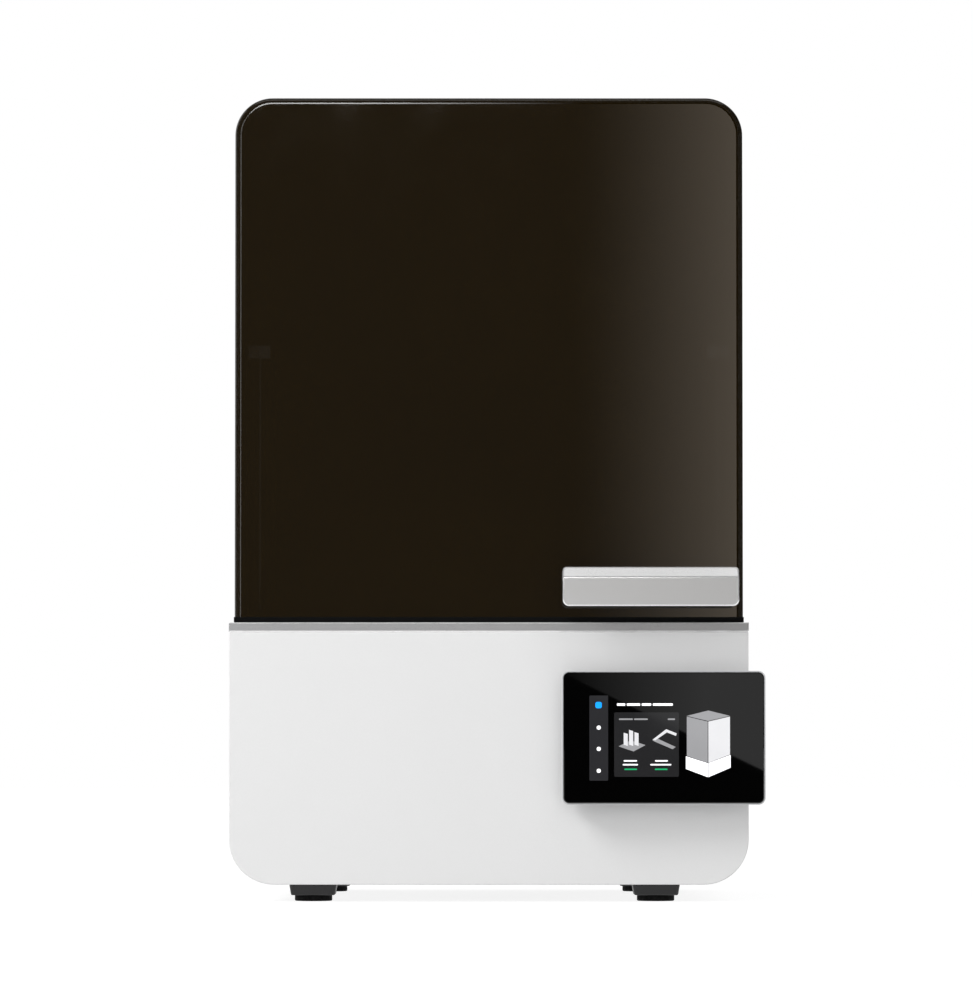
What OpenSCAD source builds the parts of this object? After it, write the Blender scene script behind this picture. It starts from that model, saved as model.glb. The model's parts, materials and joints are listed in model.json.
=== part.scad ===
// Desktop resin printer: base with mask screen and light engine, resin vat,
// vertical axis with build platform, flip-up dark hood and a touch display.
// Millimetres. Z up, X to the right, the front faces -Y.
// The origin is on the table, under the middle of the base.

/* [Base] */
// Width of the base
base_w = 330; // [322:1:350]
// Depth of the base
base_d = 300; // [300:1:330]
// Height of the base box, without feet and deck
base_h = 160.5; // [155:0.5:190]
// Radius of the two lower corners of the base
base_corner_r = 28.5; // [10:0.5:40]
// Sheet thickness of the wrapped base shell
shell_t = 2; // [1.5:0.1:3]
// Thickness of the front panel
front_t = 3; // [2:0.1:5]
// Thickness of the rear panel
rear_t = 2; // [1.5:0.1:3]
// Thickness of the deck plate
deck_t = 6; // [5:0.5:8]

/* [Feet] */
// Width of a foot block at its top
foot_w = 30; // [20:0.5:40]
// Height of a foot block
foot_h = 7.3; // [5:0.1:14]
// Diameter of the rubber pad under a foot
pad_d = 24; // [14:0.5:28]
// Thickness of the rubber pad
pad_t = 3.8; // [1.5:0.1:6]
// Distance from the middle of the left feet to the left side of the base
foot_left_in = 52.6; // [45:0.1:70]
// Distance from the middle of the right feet to the right side of the base
foot_right_in = 58; // [45:0.1:70]
// Distance from the middle of a foot to the front or rear of the base
foot_end_in = 35; // [25:1:60]
// How much nearer the middle the rear feet stand
foot_rear_in = 3; // [0:0.5:10]

/* [Hood] */
// Distance from the side of the base in to the side of the hood
hood_side_in = 3.1; // [2:0.1:5]
// Distance from the front of the base back to the front of the hood
hood_inset = 3; // [1:0.5:8]
// Height of the hood
hood_h = 335.2; // [328:0.2:370]
// Wall thickness of the hood
hood_wall = 3; // [2:0.1:4]
// Radius of the upper corners of the hood
hood_corner_r = 24; // [8:0.5:30]
// Radius of the rounded front edges
hood_edge_r = 3.5; // [1:0.1:6]
// Height of the seal strip under the hood
seal_h = 3.2; // [2:0.1:6]
// Height of the hood's pivots above the deck
pivot_h = 211.6; // [200:0.2:230]
// Diameter of the hood's pivot pins
pivot_d = 12; // [8:0.5:14]

/* [Handle] */
// Length of the hood handle
handle_w = 111.4; // [60:0.2:160]
// Height of the hood handle
handle_h = 25; // [18:0.5:40]
// How far the handle stands out from the hood
handle_out = 24; // [18:0.5:32]
// Wall thickness of the handle
handle_t = 5; // [4:0.1:7]
// Distance from the hood's right side in to the handle's right end
handle_in = 3.8; // [1:0.1:40]
// Height of the handle's lower edge above the deck
handle_low = 9.8; // [6:0.2:60]

/* [Display] */
// Width of the display
display_w = 128.4; // [110:0.2:140]
// Height of the display
display_h = 84.4; // [76:0.2:100]
// Depth of the display housing
display_t = 14; // [10:0.5:22]
// Corner radius of the display
display_r = 4.5; // [2:0.5:8]
// Thickness of the cover glass
glass_t = 2; // [1:0.1:3]
// How far the display overhangs the right side of the base
display_out = 9.5; // [-4:0.5:20]
// Place of the display's middle above the table
display_z = 104.2; // [80:0.2:110]
// Length of the neck between the base and the display
neck_l = 8; // [5:0.5:16]

/* [Vat] */
// Distance from the side of the base in to the basin, with the hood's wall and a thumb screw between
basin_side_in = 46; // [45:0.5:56]
// Depth of the basin
basin_d = 140; // [124:1:146]
// How far the vat's flange stands out past the basin at the sides
flange_side = 12; // [11:0.5:14]
// How far the vat's flange stands out past the basin at the front and rear
flange_end = 13; // [12:0.5:15]
// Height of the vat's rim above the deck
vat_h = 46.1; // [36:0.1:60]
// How far the rim stands out
rim_out = 4; // [2:0.5:5]
// Thickness of the film
film_t = 0.4; // [0.3:0.05:0.5]
// Gap between the mask screen and the film
film_gap = 0.4; // [0.2:0.1:1]
// Place of the vat's and the platform's middle, towards the rear
vat_y = -34; // [-36:0.5:-33]
// Diameter of the vat's thumb screw heads
knob_d = 18; // [14:0.5:20]

/* [Platform] */
// Gap between the build platform and the basin at the sides
plate_side_gap = 4; // [3:0.5:15]
// Gap between the build platform and the basin at the front and rear
plate_end_gap = 4.5; // [3:0.5:15]
// Height of the build platform's underside above the deck, as parked
plate_low = 164.3; // [150:0.1:170]
// Thickness of the flat build plate
plate_t = 12; // [8:0.5:16]
// Height of the sloped body above the build plate
body_h = 24; // [16:0.5:30]
// Width of the bracket on the platform
bracket_w = 46; // [40:0.5:60]
// Length of the bracket on the platform
bracket_l = 70; // [50:1:80]
// Height of the slot that takes the arm
slot_h = 13; // [10:0.5:16]
// Width of the slot that takes the arm
slot_w = 30; // [20:0.5:32]

/* [Vertical axis] */
// Width of the column
column_w = 90; // [86:1:100]
// Depth of the column
column_d = 45; // [40:1:46]
// Headroom between the column's cap and the hood
head_gap = 10; // [6:0.5:20]
// Distance from the column's rear to the rear of the base
column_end_in = 25; // [22:0.5:30]
// Wall thickness of the column
column_t = 4; // [3:0.1:5]
// Width of a guide rail
rail_w = 12; // [9:0.5:15]
// Thickness of a guide rail
rail_t = 8; // [6:0.5:9]
// Distance from the column's side in to the middle of a guide rail
rail_in = 11; // [9:0.5:12]
// How far a guide rail stops short of the column's top
rail_short = 5.6; // [2:0.2:14]
// Diameter of the lifting screw
screw_d = 12; // [8:0.5:14]
// Distance from the column's front to the lifting screw
screw_back = 20; // [18:0.5:22]
// Side of the square motor
motor_w = 42.3; // [35:0.1:57]
// Length of the motor
motor_l = 40; // [30:1:60]

/* [Light engine] */
// Thickness of the mask screen and its glass
screen_t = 3.6; // [3:0.1:4.5]
// Gap between the floor of the base and the cooling fan
fan_lift = 6.5; // [4:0.5:12]
// Side of the cooling fan
fan_w = 92; // [80:1:92]
// Thickness of the cooling fan
fan_t = 18; // [12:0.5:20]

/* [Hidden] */
$fn = 64;

// Colours
white_paint = "#e6e6e4";
grey_metal = "#9d9ea1";
bright_metal = "#c9cbce";
dark_metal = "#3c3d40";
black_plastic = "#1b1b1d";
smoked_brown = "#2a2013";
silver = "#b4b4b3";
board_green = "#1f5a38";

// Clearances
eps = 0.1; // how far a cut runs past a face
seat_gap = 0.3; // between bodies that move past each other
fit_gap = 0.05; // round a pin that turns in its bore

// Heights
shell_z = foot_h + pad_t;
floor_z = shell_z + shell_t;
base_top = shell_z + base_h;
deck_z = base_top + deck_t;
clamp_t = screen_t + film_gap;
film_z = deck_z + clamp_t;
vat_z = film_z + film_t;
rim_z = deck_z + vat_h;
plate_z = deck_z + plate_low;
body_z = plate_z + plate_t;
bracket_z = body_z + body_h;
slot_floor = 6;
slot_z = bracket_z + slot_floor;
roof_t = 4.5;
roof_z = slot_z + slot_h;
roof_top = roof_z + roof_t;
cap_t = 10;
column_h = hood_h - hood_wall - head_gap - cap_t;
column_top = deck_z + column_h;
seal_z = deck_z + seat_gap;
hood_z = seal_z + seal_h;
hood_top = deck_z + hood_h;
pivot_z = deck_z + pivot_h;

// Depths
front_y = -base_d / 2;
rear_y = base_d / 2;
hood_front = front_y + hood_inset;
column_y = rear_y - column_end_in - column_d;
cover_t = 3;
cover_d = 27;
cover_gap = 14;
cover_rear = column_y + column_d + cover_gap;
cover_front = cover_rear - cover_d;
pivot_in = 14;
pivot_y = cover_rear - pivot_in;
hood_run_gap = 0.5;
hood_rear = cover_rear + hood_run_gap + hood_wall;
screw_y = column_y + screw_back;
rail_front = column_y - rail_t;

// Widths
hood_w = base_w - 2 * hood_side_in;
inner_w = hood_w - 2 * hood_wall;
basin_w = base_w - 2 * basin_side_in;
vat_w = basin_w + 2 * flange_side;
vat_d = basin_d + 2 * flange_end;
plate_w = basin_w - 2 * plate_side_gap;
plate_d = basin_d - 2 * plate_end_gap;
screen_w = basin_w - 2;
screen_d = basin_d + 1;
window_w = screen_w - 8;
window_d = screen_d - 9;
rail_x = column_w / 2 - rail_in;
display_x = base_w / 2 + display_out - display_w / 2;

// Guide carriages and the arm
carriage_w = 27;
carriage_l = 46;
carriage_t = 10;
carriage_lift = 3;
carriage_y = column_y - carriage_lift - carriage_t;
arm_t = 6;
arm_out = 9;
arm_w = column_w + 2 * arm_out;
arm_y = carriage_y - arm_t;
star_h = 12.4;
arm_h = 64;
arm_top = roof_top + star_h;
arm_low = arm_top - arm_h;
carriage_z = arm_low + 10;
tongue_gap = 0.3;
block_back = 14;
block_d = screw_y + block_back - carriage_y;

// ---------- shared shapes ----------

// A box with its middle at x, y and its underside at z
module slab(w, d, h, x = 0, y = 0, z = 0) {
    translate([x - w / 2, y - d / 2, z]) cube([w, d, h]);
}

module rounded_rect(w, d, r) {
    square([w - 2 * r, d], center = true);
    square([w, d - 2 * r], center = true);
    for (sx = [-1, 1], sy = [-1, 1]) {
        translate([sx * (w / 2 - r), sy * (d / 2 - r)]) circle(r);
    }
}

module rounded_slab(w, d, h, r, x = 0, y = 0, z = 0) {
    translate([x, y, z]) linear_extrude(h) rounded_rect(w, d, r);
}

// A standing outline with its own radius at the lower and the upper corners
module standing_outline(w, h, r_low, r_top) {
    side_h = h - r_low - r_top;
    translate([-w / 2, r_low]) square([w, side_h]);
    translate([-w / 2 + r_low, 0]) square([w - 2 * r_low, h / 2]);
    translate([-w / 2 + r_top, h / 2]) square([w - 2 * r_top, h / 2]);
    for (s = [-1, 1]) {
        if (r_low > 0) {
            translate([s * (w / 2 - r_low), r_low]) circle(r_low);
        }
        if (r_top > 0) {
            translate([s * (w / 2 - r_top), h - r_top]) circle(r_top);
        }
    }
}

// Extrudes an outline drawn in X and Z from y to y + depth
module stand_up(y, depth, z = 0) {
    translate([0, y + depth, z]) rotate([90, 0, 0]) linear_extrude(depth) children();
}

// A rod along X from x0 to x1
module rod_x(d, x0, x1, y, z) {
    translate([x0, y, z]) rotate([0, 90, 0]) cylinder(d = d, h = x1 - x0);
}

// A rod along Y from y0 to y1
module rod_y(d, y0, y1, x, z) {
    translate([x, y0, z]) rotate([-90, 0, 0]) cylinder(d = d, h = y1 - y0);
}

module rod_z(d, z0, z1, x, y) {
    translate([x, y, z0]) cylinder(d = d, h = z1 - z0);
}

// ---------- base ----------

rear_fan_w = 80;
rear_fan_t = 20;
rear_fan_side_in = 45;
rear_fan_x = base_w / 2 - rear_fan_side_in - rear_fan_w / 2;
rear_fan_z = shell_z + 100;
inlet_w = 28;
inlet_h = 48;
inlet_side_in = 51;
inlet_x = inlet_side_in + inlet_w / 2 - base_w / 2;
inlet_z = shell_z + 72;
inlet_depth = 26;
panel_screw_inset = 9;
panel_screw_low = 45;
panel_block = [14, 10, 12];
intake_slots = 9;
intake_pitch = 9;
louvres = 7;
louvre_pitch = 10;
louvre_l = 40;
slot_cut = 4;

module base_outline(inset = 0) {
    r = base_corner_r - inset;
    translate([0, inset]) standing_outline(base_w - 2 * inset, base_h - inset, r, 0);
}

module base_shell() {
    depth = base_d - front_t - rear_t;
    color(white_paint) difference() {
        union() {
            difference() {
                stand_up(front_y + front_t, depth, shell_z) base_outline();
                stand_up(front_y + front_t - eps, depth + 2 * eps, shell_z) {
                    base_outline(shell_t);
                    translate([-base_w / 2 + shell_t, base_h / 2]) square([base_w - 2 * shell_t, base_h]);
                }
            }
            // tapped blocks behind the rear panel
            for (p = panel_screw_places()) {
                x = p[0] + sign(p[0]) * (panel_screw_inset - shell_t / 2 - panel_block[0] / 2);
                y = rear_y - rear_t - panel_block[1] / 2;
                slab(panel_block[0], panel_block[1], panel_block[2], x, y, p[1] - panel_block[2] / 2);
            }
        }
        // air intake under the cooling fan
        for (i = [0 : intake_slots - 1]) {
            y = vat_y + (i - (intake_slots - 1) / 2) * intake_pitch;
            slab(fan_w - 16, slot_cut, shell_t + 2 * eps, 0, y, shell_z - eps);
        }
        // screws of the rear panel
        for (p = panel_screw_places()) {
            rod_y(3, rear_y - rear_t - 8, rear_y, p[0], p[1]);
        }
        // side louvres
        for (s = [-1, 1], i = [0 : louvres - 1]) {
            y = rear_y - 110 + i * louvre_pitch;
            slab(shell_t + 2 * eps, slot_cut, louvre_l, s * (base_w - shell_t) / 2, y, shell_z + 70);
        }
    }
}

cable_hole = 18;

module front_panel() {
    color(white_paint) difference() {
        stand_up(front_y, front_t, shell_z) base_outline();
        // cable hole behind the display's neck
        rod_y(cable_hole, front_y - eps, front_y + front_t + eps, display_x, display_z);
    }
}

panel_screw_z = [shell_z + panel_screw_low, base_top - panel_screw_inset];

function panel_screw_places() = [for (sx = [-1, 1], z = panel_screw_z)
    [sx * (base_w / 2 - panel_screw_inset), z]];

module rear_panel() {
    color(white_paint) difference() {
        stand_up(rear_y - rear_t, rear_t, shell_z) base_outline();
        // outlet of the rear fan, as concentric rings cut by spokes
        difference() {
            rod_y(rear_fan_w - 8, rear_y - rear_t - eps, rear_y + eps, rear_fan_x, rear_fan_z);
            for (d = [rear_fan_w - 18 : -16 : 30]) {
                difference() {
                    rod_y(d + 3, rear_y - rear_t - 1, rear_y + 1, rear_fan_x, rear_fan_z);
                    rod_y(d - 1, rear_y - rear_t - 2, rear_y + 2, rear_fan_x, rear_fan_z);
                }
            }
            for (a = [45, 135]) {
                translate([rear_fan_x, rear_y, rear_fan_z]) rotate([0, a, 0]) {
                    cube([rear_fan_w, 2 * rear_t + 4, slot_cut], center = true);
                }
            }
            rod_y(22, rear_y - rear_t - 1, rear_y + 1, rear_fan_x, rear_fan_z);
        }
        translate([inlet_x - inlet_w / 2, rear_y - rear_t - eps, inlet_z - inlet_h / 2]) {
            cube([inlet_w, rear_t + 2 * eps, inlet_h]);
        }
        for (p = panel_screw_places()) {
            rod_y(3.4, rear_y - rear_t - eps, rear_y + eps, p[0], p[1]);
        }
    }
}

module panel_screws() {
    color(dark_metal) for (p = panel_screw_places()) {
        rod_y(3, rear_y - rear_t - 6, rear_y + eps, p[0], p[1]);
        difference() {
            rod_y(6, rear_y, rear_y + 2.2, p[0], p[1]);
            translate([p[0], rear_y + 1, p[1]]) rotate([-90, 0, 0]) cylinder(d = 2.6, h = 2, $fn = 6);
        }
    }
}

deck_out = 0.2;
coupler_d = 19;
coupler_hole = coupler_d + 7;

module deck_plate() {
    color(grey_metal) difference() {
        slab(base_w + 2 * deck_out, base_d + 2 * deck_out, deck_t, 0, 0, base_top);
        slab(window_w, window_d, deck_t + 2 * eps, 0, vat_y, base_top - eps);
        rod_z(coupler_hole, base_top - eps, deck_z + eps, 0, screw_y);
        for (s = [-1, 1]) {
            rod_z(thumb_d + 0.8, base_top - eps, deck_z + eps, s * knob_x, vat_y);
        }
    }
}

// ---------- feet ----------

foot_left_x = foot_left_in - base_w / 2;
foot_right_x = base_w / 2 - foot_right_in;
foot_y = base_d / 2 - foot_end_in;
foot_rear_left_x = foot_left_x + foot_rear_in;
foot_rear_right_x = foot_right_x - foot_rear_in;
foot_places = [[foot_left_x, -foot_y], [foot_right_x, -foot_y], [foot_rear_left_x, foot_y],
    [foot_rear_right_x, foot_y]];

module foot(x, y) {
    taper = 1;
    color(black_plastic) translate([x, y, pad_t]) hull() {
        rounded_slab(foot_w, foot_w, 1, 2, 0, 0, foot_h - 1, $fn = 24);
        rounded_slab(foot_w - 2 * taper, foot_w - 2 * taper, 1, 2, $fn = 24);
    }
}

module foot_front_left() {
    foot(foot_left_x, -foot_y);
}

module foot_front_right() {
    foot(foot_right_x, -foot_y);
}

module foot_rear_left() {
    foot(foot_rear_left_x, foot_y);
}

module foot_rear_right() {
    foot(foot_rear_right_x, foot_y);
}

module foot_pads() {
    color("#2b2b2b") for (p = foot_places) rod_z(pad_d, 0, pad_t, p[0], p[1]);
}

// ---------- light engine ----------

box_w = screen_w - 2;
box_d = screen_d - 2;
box_wall = 2;
led_t = 2;
sink_base = 6;
sink_h = 26;
fins = 16;
fin_t = 2.4;
fin_pitch = 11;
sink_w = fins * fin_pitch - 6;
sink_d = box_d - 29;
fan_z = floor_z + fan_lift;
sink_z = fan_z + fan_t;
led_z = sink_z + sink_h;
box_z = led_z + led_t;
box_h = base_top - box_z;
lens_t = 3;
lens_z = base_top - 12;
screen_lip = 1.4;

module mask_screen() {
    color("#101216") {
        slab(screen_w, screen_d, screen_t, 0, vat_y, deck_z);
        slab(window_w - 1, window_d - 1, screen_lip + eps, 0, vat_y, deck_z - screen_lip);
    }
}

module light_box() {
    color(dark_metal) difference() {
        slab(box_w, box_d, box_h, 0, vat_y, box_z);
        slab(box_w - 2 * box_wall, box_d - 2 * box_wall, box_h + 2 * eps, 0, vat_y, box_z - eps);
        // a step at the top that carries the lens
        slab(box_w - box_wall, box_d - box_wall, lens_t + 6, 0, vat_y, lens_z);
    }
}

module lens_plate() {
    color("#cfd8dc") difference() {
        slab(box_w - box_wall, box_d - box_wall, lens_t, 0, vat_y, lens_z);
        // the ridges of the collimating lens
        for (i = [1 : 6]) {
            difference() {
                rod_z(20 * i + 1.2, lens_z + lens_t - 0.6, lens_z + lens_t + 1, 0, vat_y);
                rod_z(20 * i, lens_z + lens_t - 1, lens_z + lens_t + 2, 0, vat_y);
            }
        }
    }
}

module led_board() {
    color(board_green) {
        slab(box_w, box_d, led_t, 0, vat_y, led_z);
        for (i = [-3.5 : 3.5], j = [-1.5 : 1.5]) {
            slab(6, 6, 1.6, i * 26, vat_y + j * 30, led_z + led_t - eps);
        }
    }
}

module heatsink() {
    color(bright_metal) {
        slab(sink_w, sink_d, sink_base, 0, vat_y, led_z - sink_base);
        for (i = [0 : fins - 1]) {
            slab(fin_t, sink_d, sink_h - sink_base + eps, (i - (fins - 1) / 2) * fin_pitch, vat_y, sink_z);
        }
    }
}

fan_post = 6;

// A square fan frame with a hub and struts, its back at z = 0
module fan_frame(w, t, hub_d) {
    difference() {
        linear_extrude(t) rounded_rect(w, w, 4);
        translate([0, 0, -eps]) cylinder(d = w - 4, h = t + 2 * eps);
        for (sx = [-1, 1], sy = [-1, 1]) {
            translate([sx * (w / 2 - 5), sy * (w / 2 - 5), -eps]) cylinder(d = 3.6, h = t + 2 * eps);
        }
    }
    cylinder(d = hub_d, h = 2.5);
    cylinder(d = fan_post, h = t - 2);
    for (a = [45 : 90 : 315]) {
        rotate([0, 0, a]) translate([hub_d / 2 - 1, -1.5, 0]) cube([w / 2 - hub_d / 2, 3, 2.4]);
    }
}

// The turning part of a fan: a cup with tilted blades that sits over the hub's post
module fan_rotor(w, t, hub_d) {
    low = 3.2;
    difference() {
        translate([0, 0, low]) cylinder(d = hub_d, h = t - low - 0.5);
        translate([0, 0, low - eps]) cylinder(d = hub_d - 4, h = t - low - 4);
        translate([0, 0, low - eps]) cylinder(d = fan_post + 2 * fit_gap, h = t - low - 1.6);
    }
    for (i = [0 : 6]) {
        rotate([0, 0, i * 360 / 7]) translate([hub_d / 2 - 1, 0, (t + low) / 2]) {
            rotate([38, 0, 0]) translate([0, -(t - 6) / 2, -0.7]) cube([w / 2 - hub_d / 2 - 2.2, t - 6, 1.4]);
        }
    }
}

fan_hub = 36;

module light_fan_frame() {
    color(black_plastic) translate([0, vat_y, fan_z]) fan_frame(fan_w, fan_t, fan_hub);
}

module light_fan_rotor() {
    color("#26282b") translate([0, vat_y, fan_z]) fan_rotor(fan_w, fan_t, fan_hub);
}

// ---------- vat ----------

ear_l = 20;
ear_d = 28;
ear_h = 12;
knob_x = vat_w / 2 + ear_l / 2 + 1;
rim_h = 4;
vat_wall = 4;
flange_h = 12;
wall_w = basin_w + 2 * vat_wall;
wall_d = basin_d + 2 * vat_wall;
film_edge = 2;
film_screw_in = 5.5;
film_screw_d = 3;
film_head_d = 5.6;
film_head_t = 1.7;
film_screw_up = 8;
thumb_d = 6;

function film_screw_places() = concat(
    [for (i = [-2.5 : 2.5], s = [-1, 1]) [i * (vat_w - 10) / 6, s * (vat_d / 2 - film_screw_in)]],
    [for (j = [-1.5 : 1.5], s = [-1, 1]) [s * (vat_w / 2 - film_screw_in), j * (vat_d - 6) / 4]]);

module vat_frame() {
    color(bright_metal) difference() {
        union() {
            rounded_slab(vat_w, vat_d, flange_h, 9, 0, vat_y, vat_z);
            rounded_slab(wall_w, wall_d, rim_z - vat_z, 14, 0, vat_y, vat_z);
            rounded_slab(wall_w + 2 * rim_out, wall_d + 2 * rim_out, rim_h, 18, 0, vat_y, rim_z - rim_h);
            for (s = [-1, 1]) {
                slab(ear_l + 2, ear_d, ear_h, s * (vat_w / 2 + ear_l / 2 + eps), vat_y, deck_z);
            }
        }
        rounded_slab(basin_w, basin_d, vat_h + 2, 10, 0, vat_y, deck_z - eps);
        // room for the clamp ring
        rounded_slab(vat_w, vat_d, clamp_t + film_t + eps, 9, 0, vat_y, deck_z - eps);
        // pouring lip at the left front corner
        translate([-basin_w / 2 + 2, vat_y - basin_d / 2 + 2, rim_z - 3]) rotate([0, 0, 45]) {
            cube([44, 10, 8], center = true);
        }
        for (s = [-1, 1]) {
            rod_z(thumb_d + 2 * seat_gap, deck_z - eps, deck_z + ear_h + eps, s * knob_x, vat_y);
        }
        for (p = film_screw_places()) {
            rod_z(film_screw_d, film_z - 1, vat_z + film_screw_up + 1, p[0], vat_y + p[1]);
        }
    }
}

module vat_film() {
    color("#d9dde0") difference() {
        rounded_slab(vat_w - 2 * film_edge, vat_d - 2 * film_edge, film_t, 7, 0, vat_y, film_z);
        for (p = film_screw_places()) {
            rod_z(film_screw_d, film_z - 1, film_z + 1, p[0], vat_y + p[1]);
        }
    }
}

module film_clamp() {
    color(silver) difference() {
        rounded_slab(vat_w - 1, vat_d - 1, clamp_t, 8.5, 0, vat_y, deck_z);
        rounded_slab(screen_w + 4, screen_d + 4, clamp_t + 2 * eps, 4, 0, vat_y, deck_z - eps);
        for (p = film_screw_places()) {
            rod_z(film_screw_d, deck_z, film_z + 1, p[0], vat_y + p[1]);
            rod_z(film_head_d, deck_z - eps, deck_z + seat_gap + film_head_t, p[0], vat_y + p[1]);
        }
    }
}

module film_screws() {
    color(dark_metal) for (p = film_screw_places()) {
        rod_z(film_head_d, deck_z + seat_gap, deck_z + seat_gap + film_head_t, p[0], vat_y + p[1]);
        rod_z(film_screw_d, deck_z + 1, vat_z + film_screw_up, p[0], vat_y + p[1]);
    }
}

module thumb_screw(x) {
    head_z = deck_z + ear_h + seat_gap;
    color(black_plastic) difference() {
        union() {
            rod_z(thumb_d, base_top - 4, head_z + 1, x, vat_y);
            rod_z(knob_d - 4, head_z, head_z + 3, x, vat_y);
            rod_z(knob_d, head_z + 3, head_z + 14, x, vat_y);
        }
        for (a = [0 : 30 : 330]) {
            translate([x, vat_y, head_z + 2]) rotate([0, 0, a]) translate([knob_d / 2 + 0.6, 0, 0]) {
                cylinder(d = 3.2, h = 13, $fn = 16);
            }
        }
    }
}

module vat_knob_left() {
    thumb_screw(-knob_x);
}

module vat_knob_right() {
    thumb_screw(knob_x);
}

module vat_stops() {
    stop_w = 26;
    stop_d = 10;
    stop_h = 12;
    stop_x = vat_w / 2 - 27;
    stop_y = vat_y + vat_d / 2 + seat_gap + stop_d / 2;
    color(bright_metal) for (s = [-1, 1]) {
        difference() {
            slab(stop_w, stop_d, stop_h, s * stop_x, stop_y, deck_z);
            rod_z(7, deck_z + stop_h - 3, deck_z + stop_h + eps, s * stop_x, stop_y);
        }
    }
}

// ---------- build platform ----------

star_d = 46;
leveller_d = 5;
leveller_out = 9;
wing_w = 17;
wing_t = 3;
body_edge = 5;

function leveller_places() = [for (sx = [-1, 1], sy = [-1, 1])
    [sx * (bracket_w / 2 + leveller_out), vat_y + sy * (bracket_l / 2 - 8)]];

module build_plate() {
    color(bright_metal) rounded_slab(plate_w, plate_d, plate_t, 3, 0, vat_y, plate_z);
}

module platform_body() {
    ridge = bracket_l / 2 + 4;
    color(silver) difference() {
        translate([-plate_w / 2 + 1, vat_y, body_z]) rotate([90, 0, 90]) linear_extrude(plate_w - 2) {
            polygon([[-plate_d / 2 + 2, 0], [plate_d / 2 - 2, 0], [plate_d / 2 - 2, body_edge],
                [ridge, body_h], [-ridge, body_h], [-plate_d / 2 + 2, body_edge]]);
        }
        for (p = leveller_places()) {
            rod_z(leveller_d, body_z + 4, bracket_z + eps, p[0], p[1]);
        }
    }
}

module platform_bracket() {
    color(bright_metal) difference() {
        union() {
            slab(bracket_w, bracket_l, roof_top - bracket_z, 0, vat_y, bracket_z);
            slab(bracket_w + 2 * wing_w, bracket_l, wing_t, 0, vat_y, bracket_z);
        }
        slab(slot_w, bracket_l + 2 * eps, slot_h, 0, vat_y, slot_z);
        rod_z(8 + 2 * seat_gap, roof_z - eps, roof_top + eps, 0, vat_y);
        for (p = leveller_places()) {
            rod_z(leveller_d, bracket_z - eps, bracket_z + 4, p[0], p[1]);
        }
    }
}

module platform_screws() {
    color(dark_metal) for (p = leveller_places()) {
        rod_z(leveller_d, body_z + body_edge, bracket_z + wing_t + 0.5, p[0], p[1]);
        difference() {
            rod_z(8.5, bracket_z + wing_t, bracket_z + wing_t + 5, p[0], p[1]);
            translate([p[0], p[1], bracket_z + wing_t + 2]) cylinder(d = 4.6, h = 4, $fn = 6);
        }
    }
}

module platform_knob() {
    head_z = roof_top + tongue_gap;
    color(black_plastic) difference() {
        union() {
            rod_z(8, roof_z, head_z + 1, 0, vat_y);
            rod_z(26, head_z, head_z + 4, 0, vat_y);
            rod_z(star_d, head_z + 4, arm_top, 0, vat_y);
        }
        for (a = [0 : 30 : 330]) {
            translate([0, vat_y, head_z + 3]) rotate([0, 0, a]) translate([star_d / 2 + 1.5, 0, 0]) {
                cylinder(d = 8, h = 12, $fn = 24);
            }
        }
    }
}

// ---------- vertical axis ----------

module z_arm() {
    plate_h = arm_top - arm_low;
    tongue_end = vat_y - bracket_l / 2 + 4;
    tongue_l = arm_y - tongue_end + 1;
    color(dark_metal) {
        slab(arm_w, arm_t, plate_h, 0, arm_y + arm_t / 2, arm_low);
        slab(slot_w - 2 * tongue_gap, tongue_l, slot_h - 2 * tongue_gap, 0,
            tongue_end + tongue_l / 2, slot_z + tongue_gap);
        // a gusset on top of the tongue, behind the bracket
        translate([-5, arm_y + 1, roof_z - tongue_gap - eps]) rotate([90, 0, 90]) linear_extrude(10) {
            polygon([[0, 0], [-52, 0], [-8, arm_top - roof_z - 2], [0, arm_top - roof_z - 2]]);
        }
    }
}

nut_d = 22;
nut_flange_d = 27;
nut_flange_t = 4;
nut_l = 42;
nut_low = 2;
nut_block_w = 36;
nut_block_h = 36;

module nut_block() {
    color(grey_metal) difference() {
        slab(nut_block_w, block_d, nut_block_h, 0, carriage_y + block_d / 2, carriage_z + 2 * nut_low);
        rod_z(nut_d, carriage_z, carriage_z + nut_l + nut_low, 0, screw_y);
    }
}

module screw_nut() {
    nut_z = carriage_z + nut_low;
    color("#b98f45") difference() {
        union() {
            rod_z(nut_d, nut_z, nut_z + nut_l, 0, screw_y);
            rod_z(nut_flange_d, nut_z + nut_l - nut_flange_t, nut_z + nut_l, 0, screw_y);
        }
        rod_z(screw_d + 2 * fit_gap, nut_z - eps, nut_z + nut_l + eps, 0, screw_y);
    }
}

module carriage(x) {
    color(bright_metal) difference() {
        slab(carriage_w, carriage_t, carriage_l, x, carriage_y + carriage_t / 2, carriage_z);
        slab(rail_w + 2 * seat_gap, carriage_t, carriage_l + 2 * eps, x,
            rail_front - seat_gap + carriage_t / 2, carriage_z - eps);
    }
}

module carriage_left() {
    carriage(-rail_x);
}

module carriage_right() {
    carriage(rail_x);
}

flag_x = arm_w / 2 - 2.6;
sensor_z = deck_z + 30;

module sensor_flag() {
    color(dark_metal) {
        slab(1.2, 26, 16, flag_x, carriage_y + 13, carriage_z + 14);
    }
}

foot_plate_t = 6;
column_screw_d = 5.4;

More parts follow.
